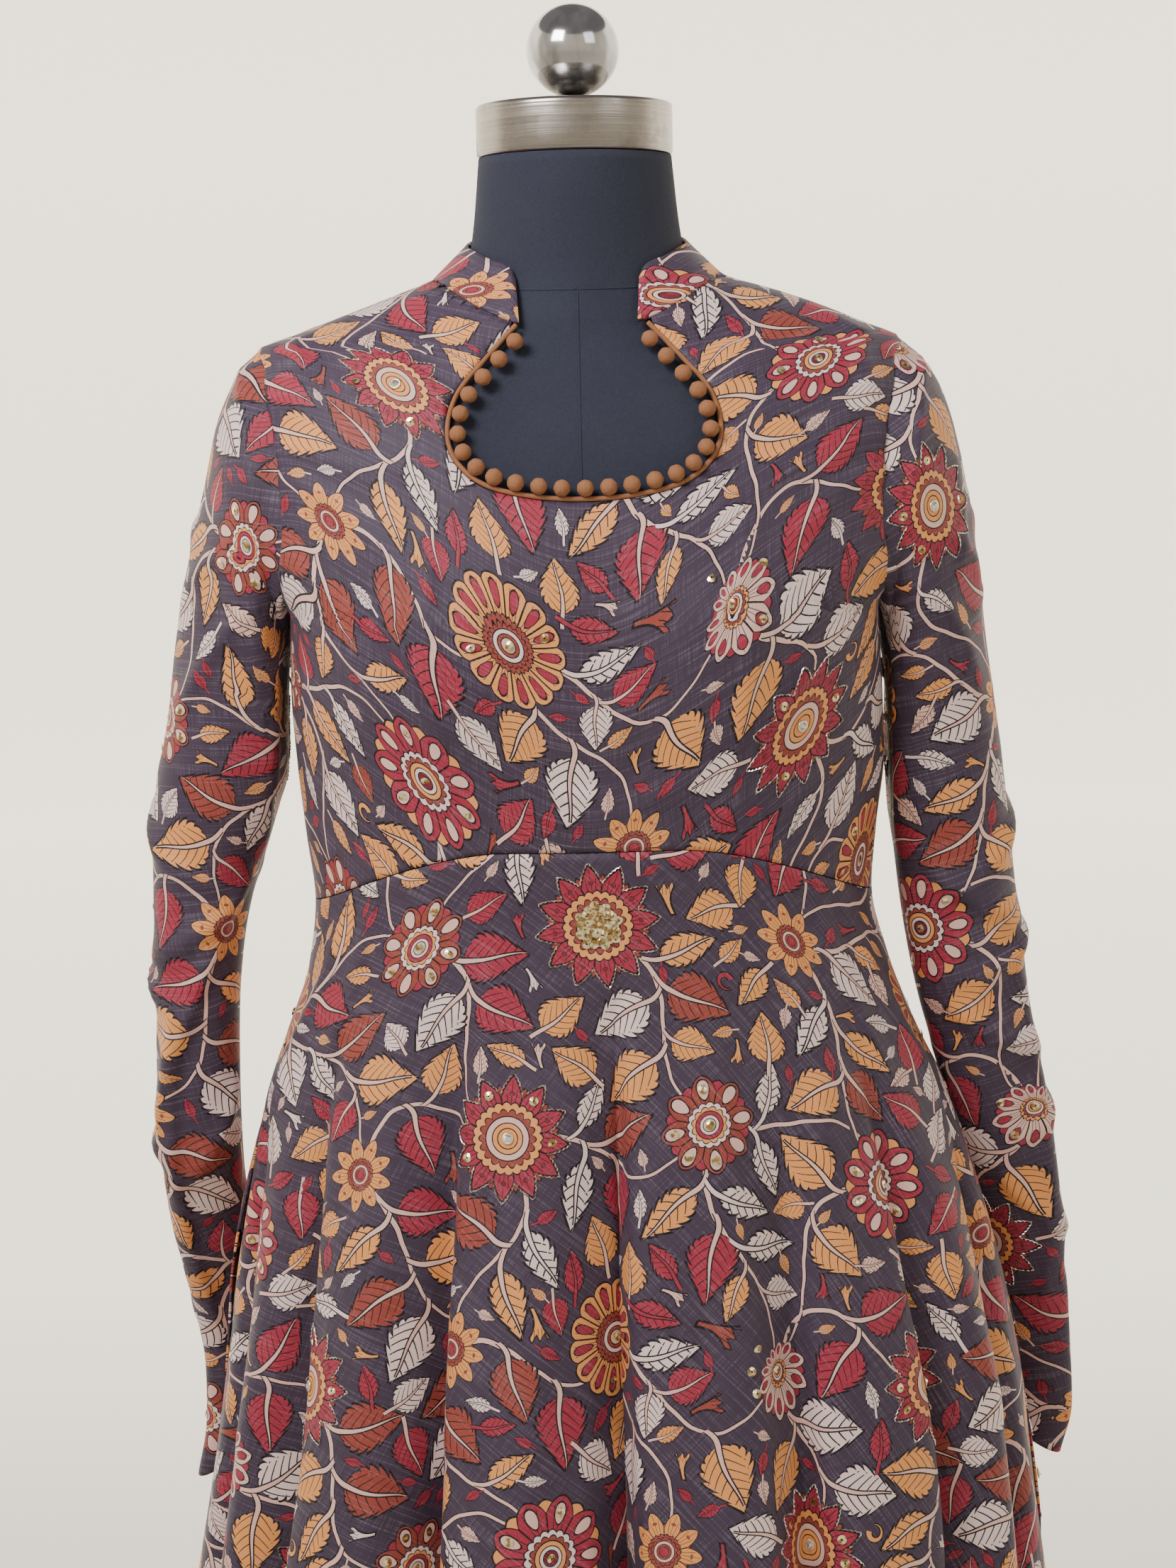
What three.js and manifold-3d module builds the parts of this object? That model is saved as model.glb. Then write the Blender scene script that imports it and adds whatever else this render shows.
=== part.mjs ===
// A long-sleeved flared kurta, worn on a limbless dress form that stands on a pole and a round base.
// Millimetres, +Z up from the floor. The front faces -Y and the wearer's left is +X.
// A turn is an angle round the body in degrees: 0 at the centre front, 90 at the left side seam.

import * as THREE from 'three';
import { mergeVertices } from 'three/addons/utils/BufferGeometryUtils.js';
import Module from 'manifold-3d';

const wasm = await Module();
wasm.setup();

// ---------------------------------------------------------------- driving dimensions

const CLOTH = 1.5;             // wall of the cotton
const COLLAR_CLOTH = 2;        // collar wall, stiffened
const SEAM = 0.3;              // open line between neighbouring pieces
const SEAM_TURN = 0.1;         // the same line as a turn, at the side and shoulder seams

const HEM = 135;               // level of the skirt's lower edge
const WAIST = 1077;            // waist seam at the centre front
const WAIST_DROP = 37;         // how far the seam dips to the side
const WAIST_LEVEL = 0.3;       // share of the half width over which the seam stays level
const WAIST_CURVE = 1.6;       // how late the dip sets in beyond that
const UNDERARM = 1206;
const SHOULDER_POINT = 1362;   // outer end of the shoulder seam
const NECK_BASE = 1399.6;      // inner end of the shoulder seam

const BUST = { across: 80, level: 1190, wide: 48, high: 52, out: 9 };

// Outer face of the kurta, a row per level: half width to the wearer's right and left, depth to the
// front and back, and how round the section is (2 is an ellipse, more is squarer).
const SECTIONS = [
  { z: 120, right: 303, left: 329, front: 254, back: 266, round: 2 },
  { z: 300, right: 284, left: 306, front: 232, back: 243, round: 2 },
  { z: 450, right: 266, left: 284, front: 212, back: 222, round: 2 },
  { z: 620, right: 242, left: 262, front: 186, back: 194, round: 2 },
  { z: 740, right: 225, left: 252, front: 164, back: 168, round: 2 },
  { z: 810, right: 215, left: 239.5, front: 150, back: 150, round: 2 },
  { z: 870, right: 205.5, left: 225, front: 137, back: 133, round: 2.05 },
  { z: 920, right: 196, left: 209, front: 127, back: 121, round: 2.1 },
  { z: 960, right: 182, left: 191, front: 119, back: 112, round: 2.15 },
  { z: 1000, right: 168, left: 176, front: 113, back: 104, round: 2.25 },
  { z: 1040, right: 163, left: 167, front: 111, back: 100, round: 2.3 },
  { z: 1077, right: 167, left: 170, front: 114, back: 98, round: 2.3 },
  { z: 1120, right: 171, left: 175, front: 119, back: 99, round: 2.35 },
  { z: 1160, right: 173, left: 174, front: 123, back: 101, round: 2.5 },
  { z: 1206, right: 172, left: 172, front: 123, back: 105, round: 2.8 },
  { z: 1226, right: 186, left: 186, front: 122, back: 107, round: 2.5 },
  { z: 1250, right: 199, left: 199, front: 119, back: 108, round: 2.3 },
  { z: 1290, right: 206, left: 206, front: 108, back: 107, round: 2.2 },
  { z: 1330, right: 203, left: 203, front: 95, back: 101, round: 2.1 },
  { z: 1350, right: 195, left: 195, front: 86, back: 94, round: 1.9 },
  { z: 1362, right: 187, left: 187, front: 79, back: 86, round: 1.7 },
  { z: 1370, right: 164, left: 168, front: 76, back: 81, round: 1.6 },
  { z: 1380, right: 137, left: 144, front: 73, back: 76, round: 1.5 },
  { z: 1390, right: 110, left: 116, front: 70, back: 71, round: 1.5 },
  { z: 1400, right: 84, left: 84, front: 67, back: 66, round: 1.6 },
  { z: 1412, right: 70, left: 70, front: 65, back: 63, round: 1.8 },
];

// Front edge of the armhole as a turn. The back edge mirrors it.
const ARMHOLE = [
  { z: 1206, turn: 90 },
  { z: 1209, turn: 80 },
  { z: 1214, turn: 72 },
  { z: 1226, turn: 62 },
  { z: 1245, turn: 55.5 },
  { z: 1275, turn: 53.5 },
  { z: 1297, turn: 54.5 },
  { z: 1328, turn: 60 },
  { z: 1343, turn: 66 },
  { z: 1350, turn: 70 },
  { z: 1357, turn: 78 },
  { z: 1362, turn: 90 },
];

// Rows of the bodice and skirt walls. The waist seam itself is the bodice's last row and the skirt's
// first, and is left out of both lists.
const BODICE_LEVELS = [1399.6, 1391, 1381, 1371, 1362, 1348, 1330, 1305, 1275, 1245, 1226, 1214,
  1206, 1180, 1150, 1125, 1100];
const SKIRT_LEVELS = [1010, 975, 930, 880, 820, 740, 640, 520, 400, 265, HEM];
const BODICE_COLUMNS = 28;
const SKIRT_COLUMNS = 56;

// Folds of the skirt, a row for each: the turn it runs down, its half width as a turn, how far the
// cloth stands out (or in, below zero) at the hem, and the level where it starts.
const FOLDS = [
  { turn: 4, wide: 4.6, out: -52, from: 985 },
  { turn: 16, wide: 8, out: 24, from: 960 },
  { turn: 29, wide: 5, out: -28, from: 880 },
  { turn: 39, wide: 6.5, out: 17, from: 860 },
  { turn: 50, wide: 5, out: -36, from: 930 },
  { turn: 63, wide: 7, out: 20, from: 900 },
  { turn: 76, wide: 5, out: -30, from: 930 },
  { turn: 92, wide: 7, out: 10, from: 900 },
  { turn: 110, wide: 8, out: -44, from: 1000 },
  { turn: 126, wide: 6.5, out: 24, from: 930 },
  { turn: 139, wide: 5, out: -40, from: 960 },
  { turn: 153, wide: 7, out: 24, from: 900 },
  { turn: 167, wide: 5, out: -38, from: 940 },
  { turn: 180, wide: 7, out: 24, from: 930 },
  { turn: 194, wide: 5, out: -44, from: 970 },
  { turn: 207, wide: 7, out: 22, from: 900 },
  { turn: 219, wide: 5, out: -34, from: 930 },
  { turn: 231, wide: 6, out: 20, from: 900 },
  { turn: 246, wide: 9, out: -50, from: 1000 },
  { turn: 266, wide: 7, out: 10, from: 900 },
  { turn: 282, wide: 5, out: -32, from: 930 },
  { turn: 295, wide: 6.5, out: 18, from: 900 },
  { turn: 307, wide: 5.5, out: -38, from: 950 },
  { turn: 321, wide: 7, out: 20, from: 920 },
  { turn: 335, wide: 4.8, out: -44, from: 960 },
  { turn: 349, wide: 8, out: 24, from: 960 },
];
const FOLD_GROWTH = 0.9;       // how a fold deepens from its start to the hem

// Sleeves, a row per ring from the shoulder to the cuff: the ring's outer and inner edge seen from
// the front (x, outwards from the centre, and z), how far back it hangs, half its depth front to
// back, and how much further back the inner edge is than the outer one.
const SLEEVE_LEFT = [
  { outX: 200, outZ: 1350, inX: 174, inZ: 1190, back: 0, deep: 66, lean: 0 },
  { outX: 213, outZ: 1326, inX: 176, inZ: 1168, back: 0, deep: 60, lean: 0 },
  { outX: 222, outZ: 1293, inX: 177.5, inZ: 1146, back: 0, deep: 54, lean: 0 },
  { outX: 228, outZ: 1256, inX: 178, inZ: 1124, back: 0, deep: 48, lean: 0 },
  { outX: 233, outZ: 1220, inX: 178.5, inZ: 1104, back: 0, deep: 43, lean: 0 },
  { outX: 237, outZ: 1180, inX: 179, inZ: 1082, back: 0, deep: 39, lean: 0 },
  { outX: 243, outZ: 1135, inX: 181, inZ: 1060, back: 0, deep: 36, lean: 0 },
  { outX: 248, outZ: 1090, inX: 184, inZ: 1032, back: 0, deep: 33, lean: 0 },
  { outX: 253, outZ: 1040, inX: 189, inZ: 1000, back: 2, deep: 30, lean: 2 },
  { outX: 257.5, outZ: 1002, inX: 195, inZ: 972, back: 5, deep: 27, lean: 6 },
  { outX: 262, outZ: 962, inX: 204, inZ: 940, back: 10, deep: 25, lean: 12 },
  { outX: 269, outZ: 922, inX: 213, inZ: 906, back: 18, deep: 23, lean: 18 },
  { outX: 276, outZ: 880, inX: 221, inZ: 868, back: 30, deep: 21, lean: 24 },
  { outX: 282, outZ: 838, inX: 229, inZ: 830, back: 42, deep: 19, lean: 28 },
  { outX: 288, outZ: 790, inX: 237, inZ: 786, back: 56, deep: 17, lean: 30 },
  { outX: 292, outZ: 744, inX: 243, inZ: 742, back: 66, deep: 15, lean: 30 },
  { outX: 294, outZ: 700, inX: 248, inZ: 712, back: 70, deep: 14, lean: 28 },
  { outX: 287, outZ: 668, inX: 250, inZ: 696, back: 72, deep: 13, lean: 26 },
];
const SLEEVE_RIGHT = [
  { outX: 198, outZ: 1351, inX: 174, inZ: 1190, back: 0, deep: 66, lean: 0 },
  { outX: 212, outZ: 1320, inX: 175.5, inZ: 1168, back: 0, deep: 60, lean: 0 },
  { outX: 221, outZ: 1283, inX: 176.5, inZ: 1146, back: 2, deep: 54, lean: 0 },
  { outX: 229, outZ: 1252, inX: 177, inZ: 1126, back: 4, deep: 48, lean: 0 },
  { outX: 237, outZ: 1219, inX: 179, inZ: 1108, back: 6, deep: 43, lean: 0 },
  { outX: 243, outZ: 1186, inX: 183, inZ: 1096, back: 8, deep: 39, lean: 0 },
  { outX: 249, outZ: 1145, inX: 189, inZ: 1078, back: 10, deep: 36, lean: 0 },
  { outX: 257, outZ: 1110, inX: 196, inZ: 1060, back: 12, deep: 33, lean: 2 },
  { outX: 261, outZ: 1070, inX: 202, inZ: 1040, back: 14, deep: 30, lean: 4 },
  { outX: 262, outZ: 1030, inX: 208, inZ: 1014, back: 16, deep: 28, lean: 6 },
  { outX: 263, outZ: 980, inX: 213, inZ: 972, back: 18, deep: 26, lean: 8 },
  { outX: 264, outZ: 930, inX: 215, inZ: 926, back: 22, deep: 24, lean: 10 },
  { outX: 264, outZ: 888, inX: 216, inZ: 886, back: 28, deep: 22, lean: 14 },
  { outX: 262, outZ: 850, inX: 216.5, inZ: 850, back: 42, deep: 20, lean: 20 },
  { outX: 256.5, outZ: 810, inX: 215, inZ: 812, back: 58, deep: 18, lean: 26 },
  { outX: 250, outZ: 770, inX: 211, inZ: 774, back: 76, deep: 16, lean: 30 },
  { outX: 247, outZ: 729, inX: 209, inZ: 736, back: 88, deep: 15, lean: 30 },
  { outX: 249, outZ: 690, inX: 211, inZ: 702, back: 94, deep: 14, lean: 28 },
  { outX: 256, outZ: 656, inX: 216, inZ: 684, back: 96, deep: 13, lean: 26 },
];
const SLEEVE_COLUMNS = 16;
const SLEEVE_HEAD = 1.3;         // how far outside the armhole's edge the sleeve starts
// Each sleeve is two nodes, so that its collision stays open: this ring and this share of a ring
// either side of it part them.
const SLEEVE_SPLIT = 8;
const SLEEVE_GAP = 0.004;

// Neckline: centre line of the piping on the wearer's left half, from the lowest point up to the
// front end of the collar.
const NECK_CENTRE = 2;         // how far the neckline sits to the wearer's left
const NECKLINE = [
  { across: 0, z: 1273.4 },
  { across: 30, z: 1275.6 },
  { across: 56, z: 1282.5 },
  { across: 71.5, z: 1296 },
  { across: 76, z: 1313 },
  { across: 70, z: 1333 },
  { across: 54, z: 1352 },
  { across: 37, z: 1370.5 },
];
const PIPING = 1.4;            // radius of the piping
const POTLI_COUNT = 25;
const POTLI = 4.8;             // radius of a fabric ball
const POTLI_INSET = 5.9;       // from the piping's centre line to the ball's
const POTLI_OUT = 3.6;         // how far the balls stand in front of the piping
const POTLI_FIRST = 0.022;     // share of the neckline before the first ball
const POTLI_STEPS = [8, 5];    // faces round a ball and from pole to pole

// Collar: its seam on the bodice rises from the front end to the side of the neck.
const COLLAR_END = { across: 35.5, z: 1372 };
const COLLAR_SIDE = { across: 84, z: 1400 };
const COLLAR_RISE = 1.25;      // how late the seam rises between the two
const COLLAR_TUCK = 6;         // the opening's seam edge starts this far past the collar's end
const COLLAR_PAST = 4;         // and runs this far past the side of the neck
// A row per station from the front end to the centre back: turn of the seam and of the top edge,
// and level of the top edge.
const COLLAR = [
  { seam: 25, top: 33, z: 1397 },
  { seam: 27.5, top: 36, z: 1402.5 },
  { seam: 31.5, top: 40, z: 1405.5 },
  { seam: 45, top: 51, z: 1409 },
  { seam: 66, top: 69, z: 1415 },
  { seam: 90, top: 90, z: 1419.5 },
  { seam: 120, top: 120, z: 1425 },
  { seam: 150, top: 150, z: 1430 },
  { seam: 180, top: 180, z: 1432 },
];
const COLLAR_TOP = { half: 64, front: 62, back: 61 };
const COLLAR_COLUMNS = 36;
const COLLAR_ROWS = 2;

// Dress form: outer face of the padded body and neck.
const FORM = [
  { z: 850, side: 158, front: 99, back: 106, round: 2.2 },
  { z: 868, side: 168, front: 107, back: 113, round: 2.2 },
  { z: 905, side: 168, front: 107, back: 112, round: 2.2 },
  { z: 950, side: 160, front: 104, back: 103, round: 2.2 },
  { z: 1000, side: 147, front: 100, back: 93, round: 2.2 },
  { z: 1045, side: 141, front: 99, back: 88, round: 2.2 },
  { z: 1085, side: 147, front: 104, back: 88, round: 2.2 },
  { z: 1130, side: 157, front: 111, back: 91, round: 2.25 },
  { z: 1170, side: 163, front: 115, back: 95, round: 2.3 },
  { z: 1206, side: 164, front: 116, back: 98, round: 2.35 },
  { z: 1245, side: 168, front: 114, back: 101, round: 2.5 },
  { z: 1290, side: 172, front: 104, back: 101, round: 2.6 },
  { z: 1325, side: 173, front: 92, back: 96, round: 2.5 },
  { z: 1345, side: 172, front: 83, back: 90, round: 2.2 },
  { z: 1357, side: 168, front: 76, back: 83, round: 1.8 },
  { z: 1365, side: 146, front: 72, back: 77, round: 1.6 },
  { z: 1375, side: 118, front: 69, back: 71, round: 1.5 },
  { z: 1385, side: 93, front: 64, back: 65, round: 1.55 },
  { z: 1396, side: 73, front: 59.5, back: 60, round: 1.75 },
  { z: 1408, side: 64, front: 57, back: 57.5, round: 1.95 },
  { z: 1428, side: 60, front: 56, back: 57, round: 2 },
  { z: 1468, side: 56, front: 56, back: 56, round: 2 },
];
const FORM_COLUMNS = 24;

const CAP = { radius: 57, low: 1468.3, high: 1498, crown: 1502.5, edge: 4 };
const CAP_ROUND = 0.3;         // where the rounded edge's middle lies, as a share of the edge
const CAP_DOME = 0.8;          // how much of the crown is reached halfway to the middle
const BALL = { radius: 26.8, centre: 1529, foot: 1503 };
const POLE = { radius: 12.5, low: 14.3 };
const BASE = { radius: 175, thick: 14, rim: 8, bevel: 6 };
const ROUND_SIDES = 24;
const POLE_SIDES = 16;

const KURTA = new THREE.MeshStandardMaterial({ color: 0x5a5361, roughness: 0.85, metalness: 0 });
const PIPING_CLOTH = new THREE.MeshStandardMaterial({ color: 0x8f5a36, roughness: 0.9, metalness: 0 });
const FORM_CLOTH = new THREE.MeshStandardMaterial({ color: 0x3c3f51, roughness: 0.95, metalness: 0 });
const STEEL = new THREE.MeshStandardMaterial({ color: 0xa9a49c, roughness: 0.4, metalness: 1 });
const CHROME = new THREE.MeshStandardMaterial({ color: 0xd8d8d8, roughness: 0.12, metalness: 1 });
const BLACK_PAINT = new THREE.MeshStandardMaterial({ color: 0x2a2a2c, roughness: 0.5, metalness: 0.3 });

// ---------------------------------------------------------------- curves through tables

const radians = THREE.MathUtils.degToRad;

// A curve through values at rising stops that never overshoots them, straight beyond the ends.
function smooth(stops, values, at) {
  const last = stops.length - 1;
  const slope = (i) => (values[i + 1] - values[i]) / (stops[i + 1] - stops[i]);
  if (at <= stops[0]) return values[0] + slope(0) * (at - stops[0]);
  if (at >= stops[last]) return values[last] + slope(last - 1) * (at - stops[last]);
  const tangent = (i) => {
    if (i === 0) return slope(0);
    if (i === last) return slope(last - 1);
    const product = slope(i - 1) * slope(i);
    return product <= 0 ? 0 : 2 * product / (slope(i - 1) + slope(i));
  };
  let k = 0;
  while (at > stops[k + 1]) k++;
  const gap = stops[k + 1] - stops[k];
  const f = (at - stops[k]) / gap;
  const rise = (3 - 2 * f) * f * f;
  return values[k] * (1 - rise) + values[k + 1] * rise
    + gap * f * (1 - f) * ((1 - f) * tangent(k) - f * tangent(k + 1));
}

// Makes a lookup over a table: read(column, at) follows one column along the key column.
function reader(table, key) {
  const stops = table.map((row, i) => (key ? row[key] : i));
  const columns = {};
  for (const name of Object.keys(table[0])) columns[name] = table.map((row) => row[name]);
  return (column, at) => smooth(stops, columns[column], at);
}

const section = reader(SECTIONS, 'z');
const armhole = reader(ARMHOLE, 'z');
const collarRow = reader(COLLAR, null);

// Straight steps through a list of levels, carried on past both ends.
function stepThrough(levels, f) {
  const place = f * (levels.length - 1);
  const k = Math.min(Math.max(Math.floor(place), 0), levels.length - 2);
  return levels[k] + (levels[k + 1] - levels[k]) * (place - k);
}

// Unit section outline at a turn: how far across and how far ahead.
function outline(turn, round) {
  const [across, ahead] = [Math.sin(radians(turn)), Math.cos(radians(turn))];
  const size = (Math.abs(across) ** round + Math.abs(ahead) ** round) ** (1 / round);
  return [across / size, ahead / size];
}

// ---------------------------------------------------------------- the kurta's outer surface

function bustAt(x, z) {
  const across = (Math.abs(x) - BUST.across) / BUST.wide;
  const up = (z - BUST.level) / BUST.high;
  return BUST.out * Math.exp(-across * across - up * up);
}

function bodyPoint(turn, z, out = 0) {
  const [across, ahead] = outline(turn, section('round', z));
  const half = section(across > 0 ? 'left' : 'right', z);
  const depth = section(ahead > 0 ? 'front' : 'back', z);
  const outward = new THREE.Vector3(across / half, -ahead / depth, 0).setLength(out);
  const point = new THREE.Vector3(across * half, -ahead * depth, z).add(outward);
  if (ahead > 0) point.y -= bustAt(point.x, z);
  return point;
}

function waistAt(turn) {
  const [across] = outline(turn, section('round', WAIST));
  const beyond = Math.max(0, (Math.abs(across) - WAIST_LEVEL) / (1 - WAIST_LEVEL));
  return WAIST - WAIST_DROP * beyond ** WAIST_CURVE;
}

function foldAt(turn, z) {
  let out = 0;
  for (const fold of FOLDS) {
    if (z >= fold.from) continue;
    const away = ((turn - fold.turn + 540) % 360) - 180;
    const grown = ((fold.from - z) / (fold.from - HEM)) ** FOLD_GROWTH;
    out += fold.out * grown * Math.exp(-((away / fold.wide) ** 2));
  }
  return out;
}

// y of the bodice front at a place seen from the front.
function frontAt(x, z) {
  const round = section('round', z);
  const share = Math.min(Math.abs(x) / section(x > 0 ? 'left' : 'right', z), 1);
  return -section('front', z) * (1 - share ** round) ** (1 / round) - bustAt(x, z);
}

// ---------------------------------------------------------------- making closed solids

function solid(points, faces) {
  const geometry = new THREE.BufferGeometry();
  const flat = points.flatMap((p) => [p.x, p.y, p.z]);
  geometry.setAttribute('position', new THREE.Float32BufferAttribute(flat, 3));
  geometry.setIndex(faces);
  return geometry;
}

// A cloth wall on a surface(u, v), with v running down and facing 1 where u runs to the wearer's
// left across the front. The inner face is the outer one moved in by the cloth's thickness.
function wall(surface, { columns, rows, closed = false, thick = CLOTH, facing = 1 }) {
  const small = 1e-3;
  const across = closed ? columns : columns + 1;
  const outer = [];
  const inner = [];
  for (let j = 0; j <= rows; j++) {
    for (let i = 0; i < across; i++) {
      const [u, v] = [i / columns, j / rows];
      const alongU = surface(u + small, v).sub(surface(u - small, v));
      const alongV = surface(u, v + small).sub(surface(u, v - small));
      const point = surface(u, v);
      const inward = alongU.cross(alongV).setLength(thick * facing);
      outer.push(point);
      inner.push(point.clone().add(inward));
    }
  }
  const faces = [];
  const quad = (a, b, c, d) => {
    if (facing > 0) faces.push(a, b, c, a, c, d);
    else faces.push(a, c, b, a, d, c);
  };
  const at = (i, j) => j * across + (closed ? i % columns : i);
  const under = outer.length;
  for (let j = 0; j < rows; j++) {
    for (let i = 0; i < columns; i++) {
      const [a, b, c, d] = [at(i, j), at(i + 1, j), at(i + 1, j + 1), at(i, j + 1)];
      quad(a, d, c, b);
      quad(under + a, under + b, under + c, under + d);
    }
  }
  for (let i = 0; i < columns; i++) {
    const [a, b, c, d] = [at(i, 0), at(i + 1, 0), at(i + 1, rows), at(i, rows)];
    quad(a, b, under + b, under + a);
    quad(c, d, under + d, under + c);
  }
  for (let j = 0; j < rows && !closed; j++) {
    const [a, b, c, d] = [at(0, j), at(columns, j), at(columns, j + 1), at(0, j + 1)];
    quad(d, a, under + a, under + d);
    quad(b, c, under + c, under + b);
  }
  return solid([...outer, ...inner], faces);
}

// A filled body through rings that rise, closed by a flat fan at each end.
function loft(rings) {
  const count = rings[0].length;
  const points = rings.flat();
  const faces = [];
  for (let j = 0; j + 1 < rings.length; j++) {
    for (let i = 0; i < count; i++) {
      const [a, b] = [j * count + i, j * count + (i + 1) % count];
      faces.push(a, b, b + count, a, b + count, a + count);
    }
  }
  const top = (rings.length - 1) * count;
  const middle = (ring) => ring.reduce((sum, p) => sum.add(p), new THREE.Vector3()).divideScalar(count);
  points.push(middle(rings[0]), middle(rings.at(-1)));
  for (let i = 0; i < count; i++) {
    const next = (i + 1) % count;
    faces.push(points.length - 2, next, i, points.length - 1, top + i, top + next);
  }
  return solid(points, faces);
}

function toManifold(geometry) {
  const bare = geometry.clone();
  bare.deleteAttribute('normal');
  bare.deleteAttribute('uv');
  const merged = mergeVertices(bare, 1e-4);
  return new wasm.Manifold(new wasm.Mesh({
    numProp: 3,
    vertProperties: Float32Array.from(merged.attributes.position.array),
    triVerts: Uint32Array.from(merged.index.array),
  }));
}

function fromManifold(body) {
  const mesh = body.getMesh();
  const geometry = new THREE.BufferGeometry();
  geometry.setAttribute('position', new THREE.BufferAttribute(mesh.vertProperties, 3));
  geometry.setIndex(new THREE.BufferAttribute(mesh.triVerts, 1));
  return geometry;
}

const kurtaOnForm = new THREE.Group();

function add(name, geometry, material) {
  const mesh = new THREE.Mesh(geometry, material);
  mesh.name = name;
  kurtaOnForm.add(mesh);
  return mesh;
}

// ---------------------------------------------------------------- neckline

// The neckline from the wearer's right end of the collar, down and up to the left end, in x and z.
function necklineCurve() {
  const half = NECKLINE.map((row) => new THREE.Vector2(row.across, row.z));
  const right = half.slice(1).reverse().map((p) => new THREE.Vector2(NECK_CENTRE - p.x, p.y));
  const left = half.map((p) => new THREE.Vector2(NECK_CENTRE + p.x, p.y));
  return new THREE.SplineCurve([...right, ...left]);
}

const neckline = necklineCurve();

// A place on the neckline, moved by a distance away from the opening.
function besideNeckline(share, away) {
  const place = neckline.getPointAt(share);
  const along = neckline.getTangentAt(share);
  return new THREE.Vector2(place.x + along.y * away, place.y - along.x * away);
}

function collarSeamAt(x) {
  const share = (Math.abs(x) - COLLAR_END.across) / (COLLAR_SIDE.across - COLLAR_END.across);
  const rise = Math.sign(share) * Math.abs(share) ** COLLAR_RISE;
  return COLLAR_END.z + (COLLAR_SIDE.z - COLLAR_END.z) * rise;
}

// The opening that is cut out of the front: the keyhole and all above the collar's seam.
function neckOpening() {
  const steps = 44;
  const seamSteps = 6;
  const above = 20;
  const deeperThanBust = 160;
  const shape = new THREE.Shape();
  const edge = PIPING + SEAM;
  const first = besideNeckline(0, edge);
  shape.moveTo(first.x, first.y);
  for (let k = 1; k <= steps; k++) {
    const p = besideNeckline(k / steps, edge);
    shape.lineTo(p.x, p.y);
  }
  const reach = COLLAR_SIDE.across + COLLAR_PAST;
  const start = COLLAR_END.across + COLLAR_TUCK;
  for (let k = 0; k <= seamSteps; k++) {
    const x = start + (reach - start) * k / seamSteps;
    shape.lineTo(x, collarSeamAt(x) - SEAM);
  }
  shape.lineTo(reach, NECK_BASE + above);
  shape.lineTo(-reach, NECK_BASE + above);
  for (let k = seamSteps; k >= 0; k--) {
    const x = start + (reach - start) * k / seamSteps;
    shape.lineTo(-x, collarSeamAt(x) - SEAM);
  }
  const settings = { depth: deeperThanBust, bevelEnabled: false, curveSegments: 1 };
  return new THREE.ExtrudeGeometry(shape, settings).rotateX(Math.PI / 2);
}

// ---------------------------------------------------------------- bodice

// Half of the bodice: middle is 0 for the front and 180 for the back.
function bodiceHalf(middle) {
  const levels = (turn) => [...BODICE_LEVELS, waistAt(turn)];
  const surface = (u, v) => {
    const side = 2 * u - 1;
    const guess = stepThrough(levels(middle + side * 90), v);
    const inArmhole = guess > UNDERARM && guess < SHOULDER_POINT;
    const edge = inArmhole ? armhole('turn', guess) : 90;
    const turn = middle + side * (edge - SEAM_TURN);
    return bodyPoint(turn, stepThrough(levels(turn), v));
  };
  return wall(surface, { columns: BODICE_COLUMNS, rows: BODICE_LEVELS.length });
}

const frontCut = toManifold(bodiceHalf(0)).subtract(toManifold(neckOpening()));
add('bodice_front', fromManifold(frontCut), KURTA);
add('bodice_back', bodiceHalf(180), KURTA);

// ---------------------------------------------------------------- skirt

function skirtHalf(middle) {
  const surface = (u, v) => {
    const turn = middle + (2 * u - 1) * (90 - SEAM_TURN);
    const z = stepThrough([waistAt(turn) - 2 * SEAM, ...SKIRT_LEVELS], v);
    return bodyPoint(turn, z, foldAt(turn, z));
  };
  return wall(surface, { columns: SKIRT_COLUMNS, rows: SKIRT_LEVELS.length });
}

add('skirt_front', skirtHalf(0), KURTA);
add('skirt_back', skirtHalf(180), KURTA);

// ---------------------------------------------------------------- sleeves

// A place on the armhole's edge: angle 0 at the shoulder, 90 at the front, 180 at the underarm.
function armholePoint(angle, side) {
  const middle = (SHOULDER_POINT + UNDERARM) / 2;
  const z = middle + (SHOULDER_POINT - UNDERARM) / 2 * Math.cos(radians(angle));
  const edge = armhole('turn', z);
  const atFront = Math.sin(radians(angle)) >= 0;
  return bodyPoint(side * (atFront ? edge : 180 - edge), z);
}

// The stretch of a sleeve between two rings. Ring -1 is the armhole's edge.
function sleeve(rings, side, first, last) {
  const read = reader(rings, null);
  const ringPoint = (angle, row) => {
    const [back, lean] = [read('back', row), read('lean', row)];
    const outer = new THREE.Vector3(read('outX', row), back - lean / 2, read('outZ', row));
    const inner = new THREE.Vector3(read('inX', row), back + lean / 2, read('inZ', row));
    const middle = outer.clone().add(inner).divideScalar(2);
    const wide = outer.sub(inner).divideScalar(2);
    const deep = new THREE.Vector3(wide.y, -wide.x, 0).setLength(read('deep', row));
    const point = middle.addScaledVector(wide, Math.cos(radians(angle)))
      .addScaledVector(deep, Math.sin(radians(angle)));
    point.x *= side;
    return point;
  };
  const surface = (u, v) => {
    const angle = (360 * u + 720) % 360;
    const row = first + (last - first) * v;
    if (row >= 0) return ringPoint(angle, row);
    const head = armholePoint(angle, side);
    head.x += side * SLEEVE_HEAD;
    return head.lerp(ringPoint(angle, 0), row + 1);
  };
  const rows = Math.round(last - first);
  return wall(surface, { columns: SLEEVE_COLUMNS, rows, closed: true, facing: -side });
}

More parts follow.
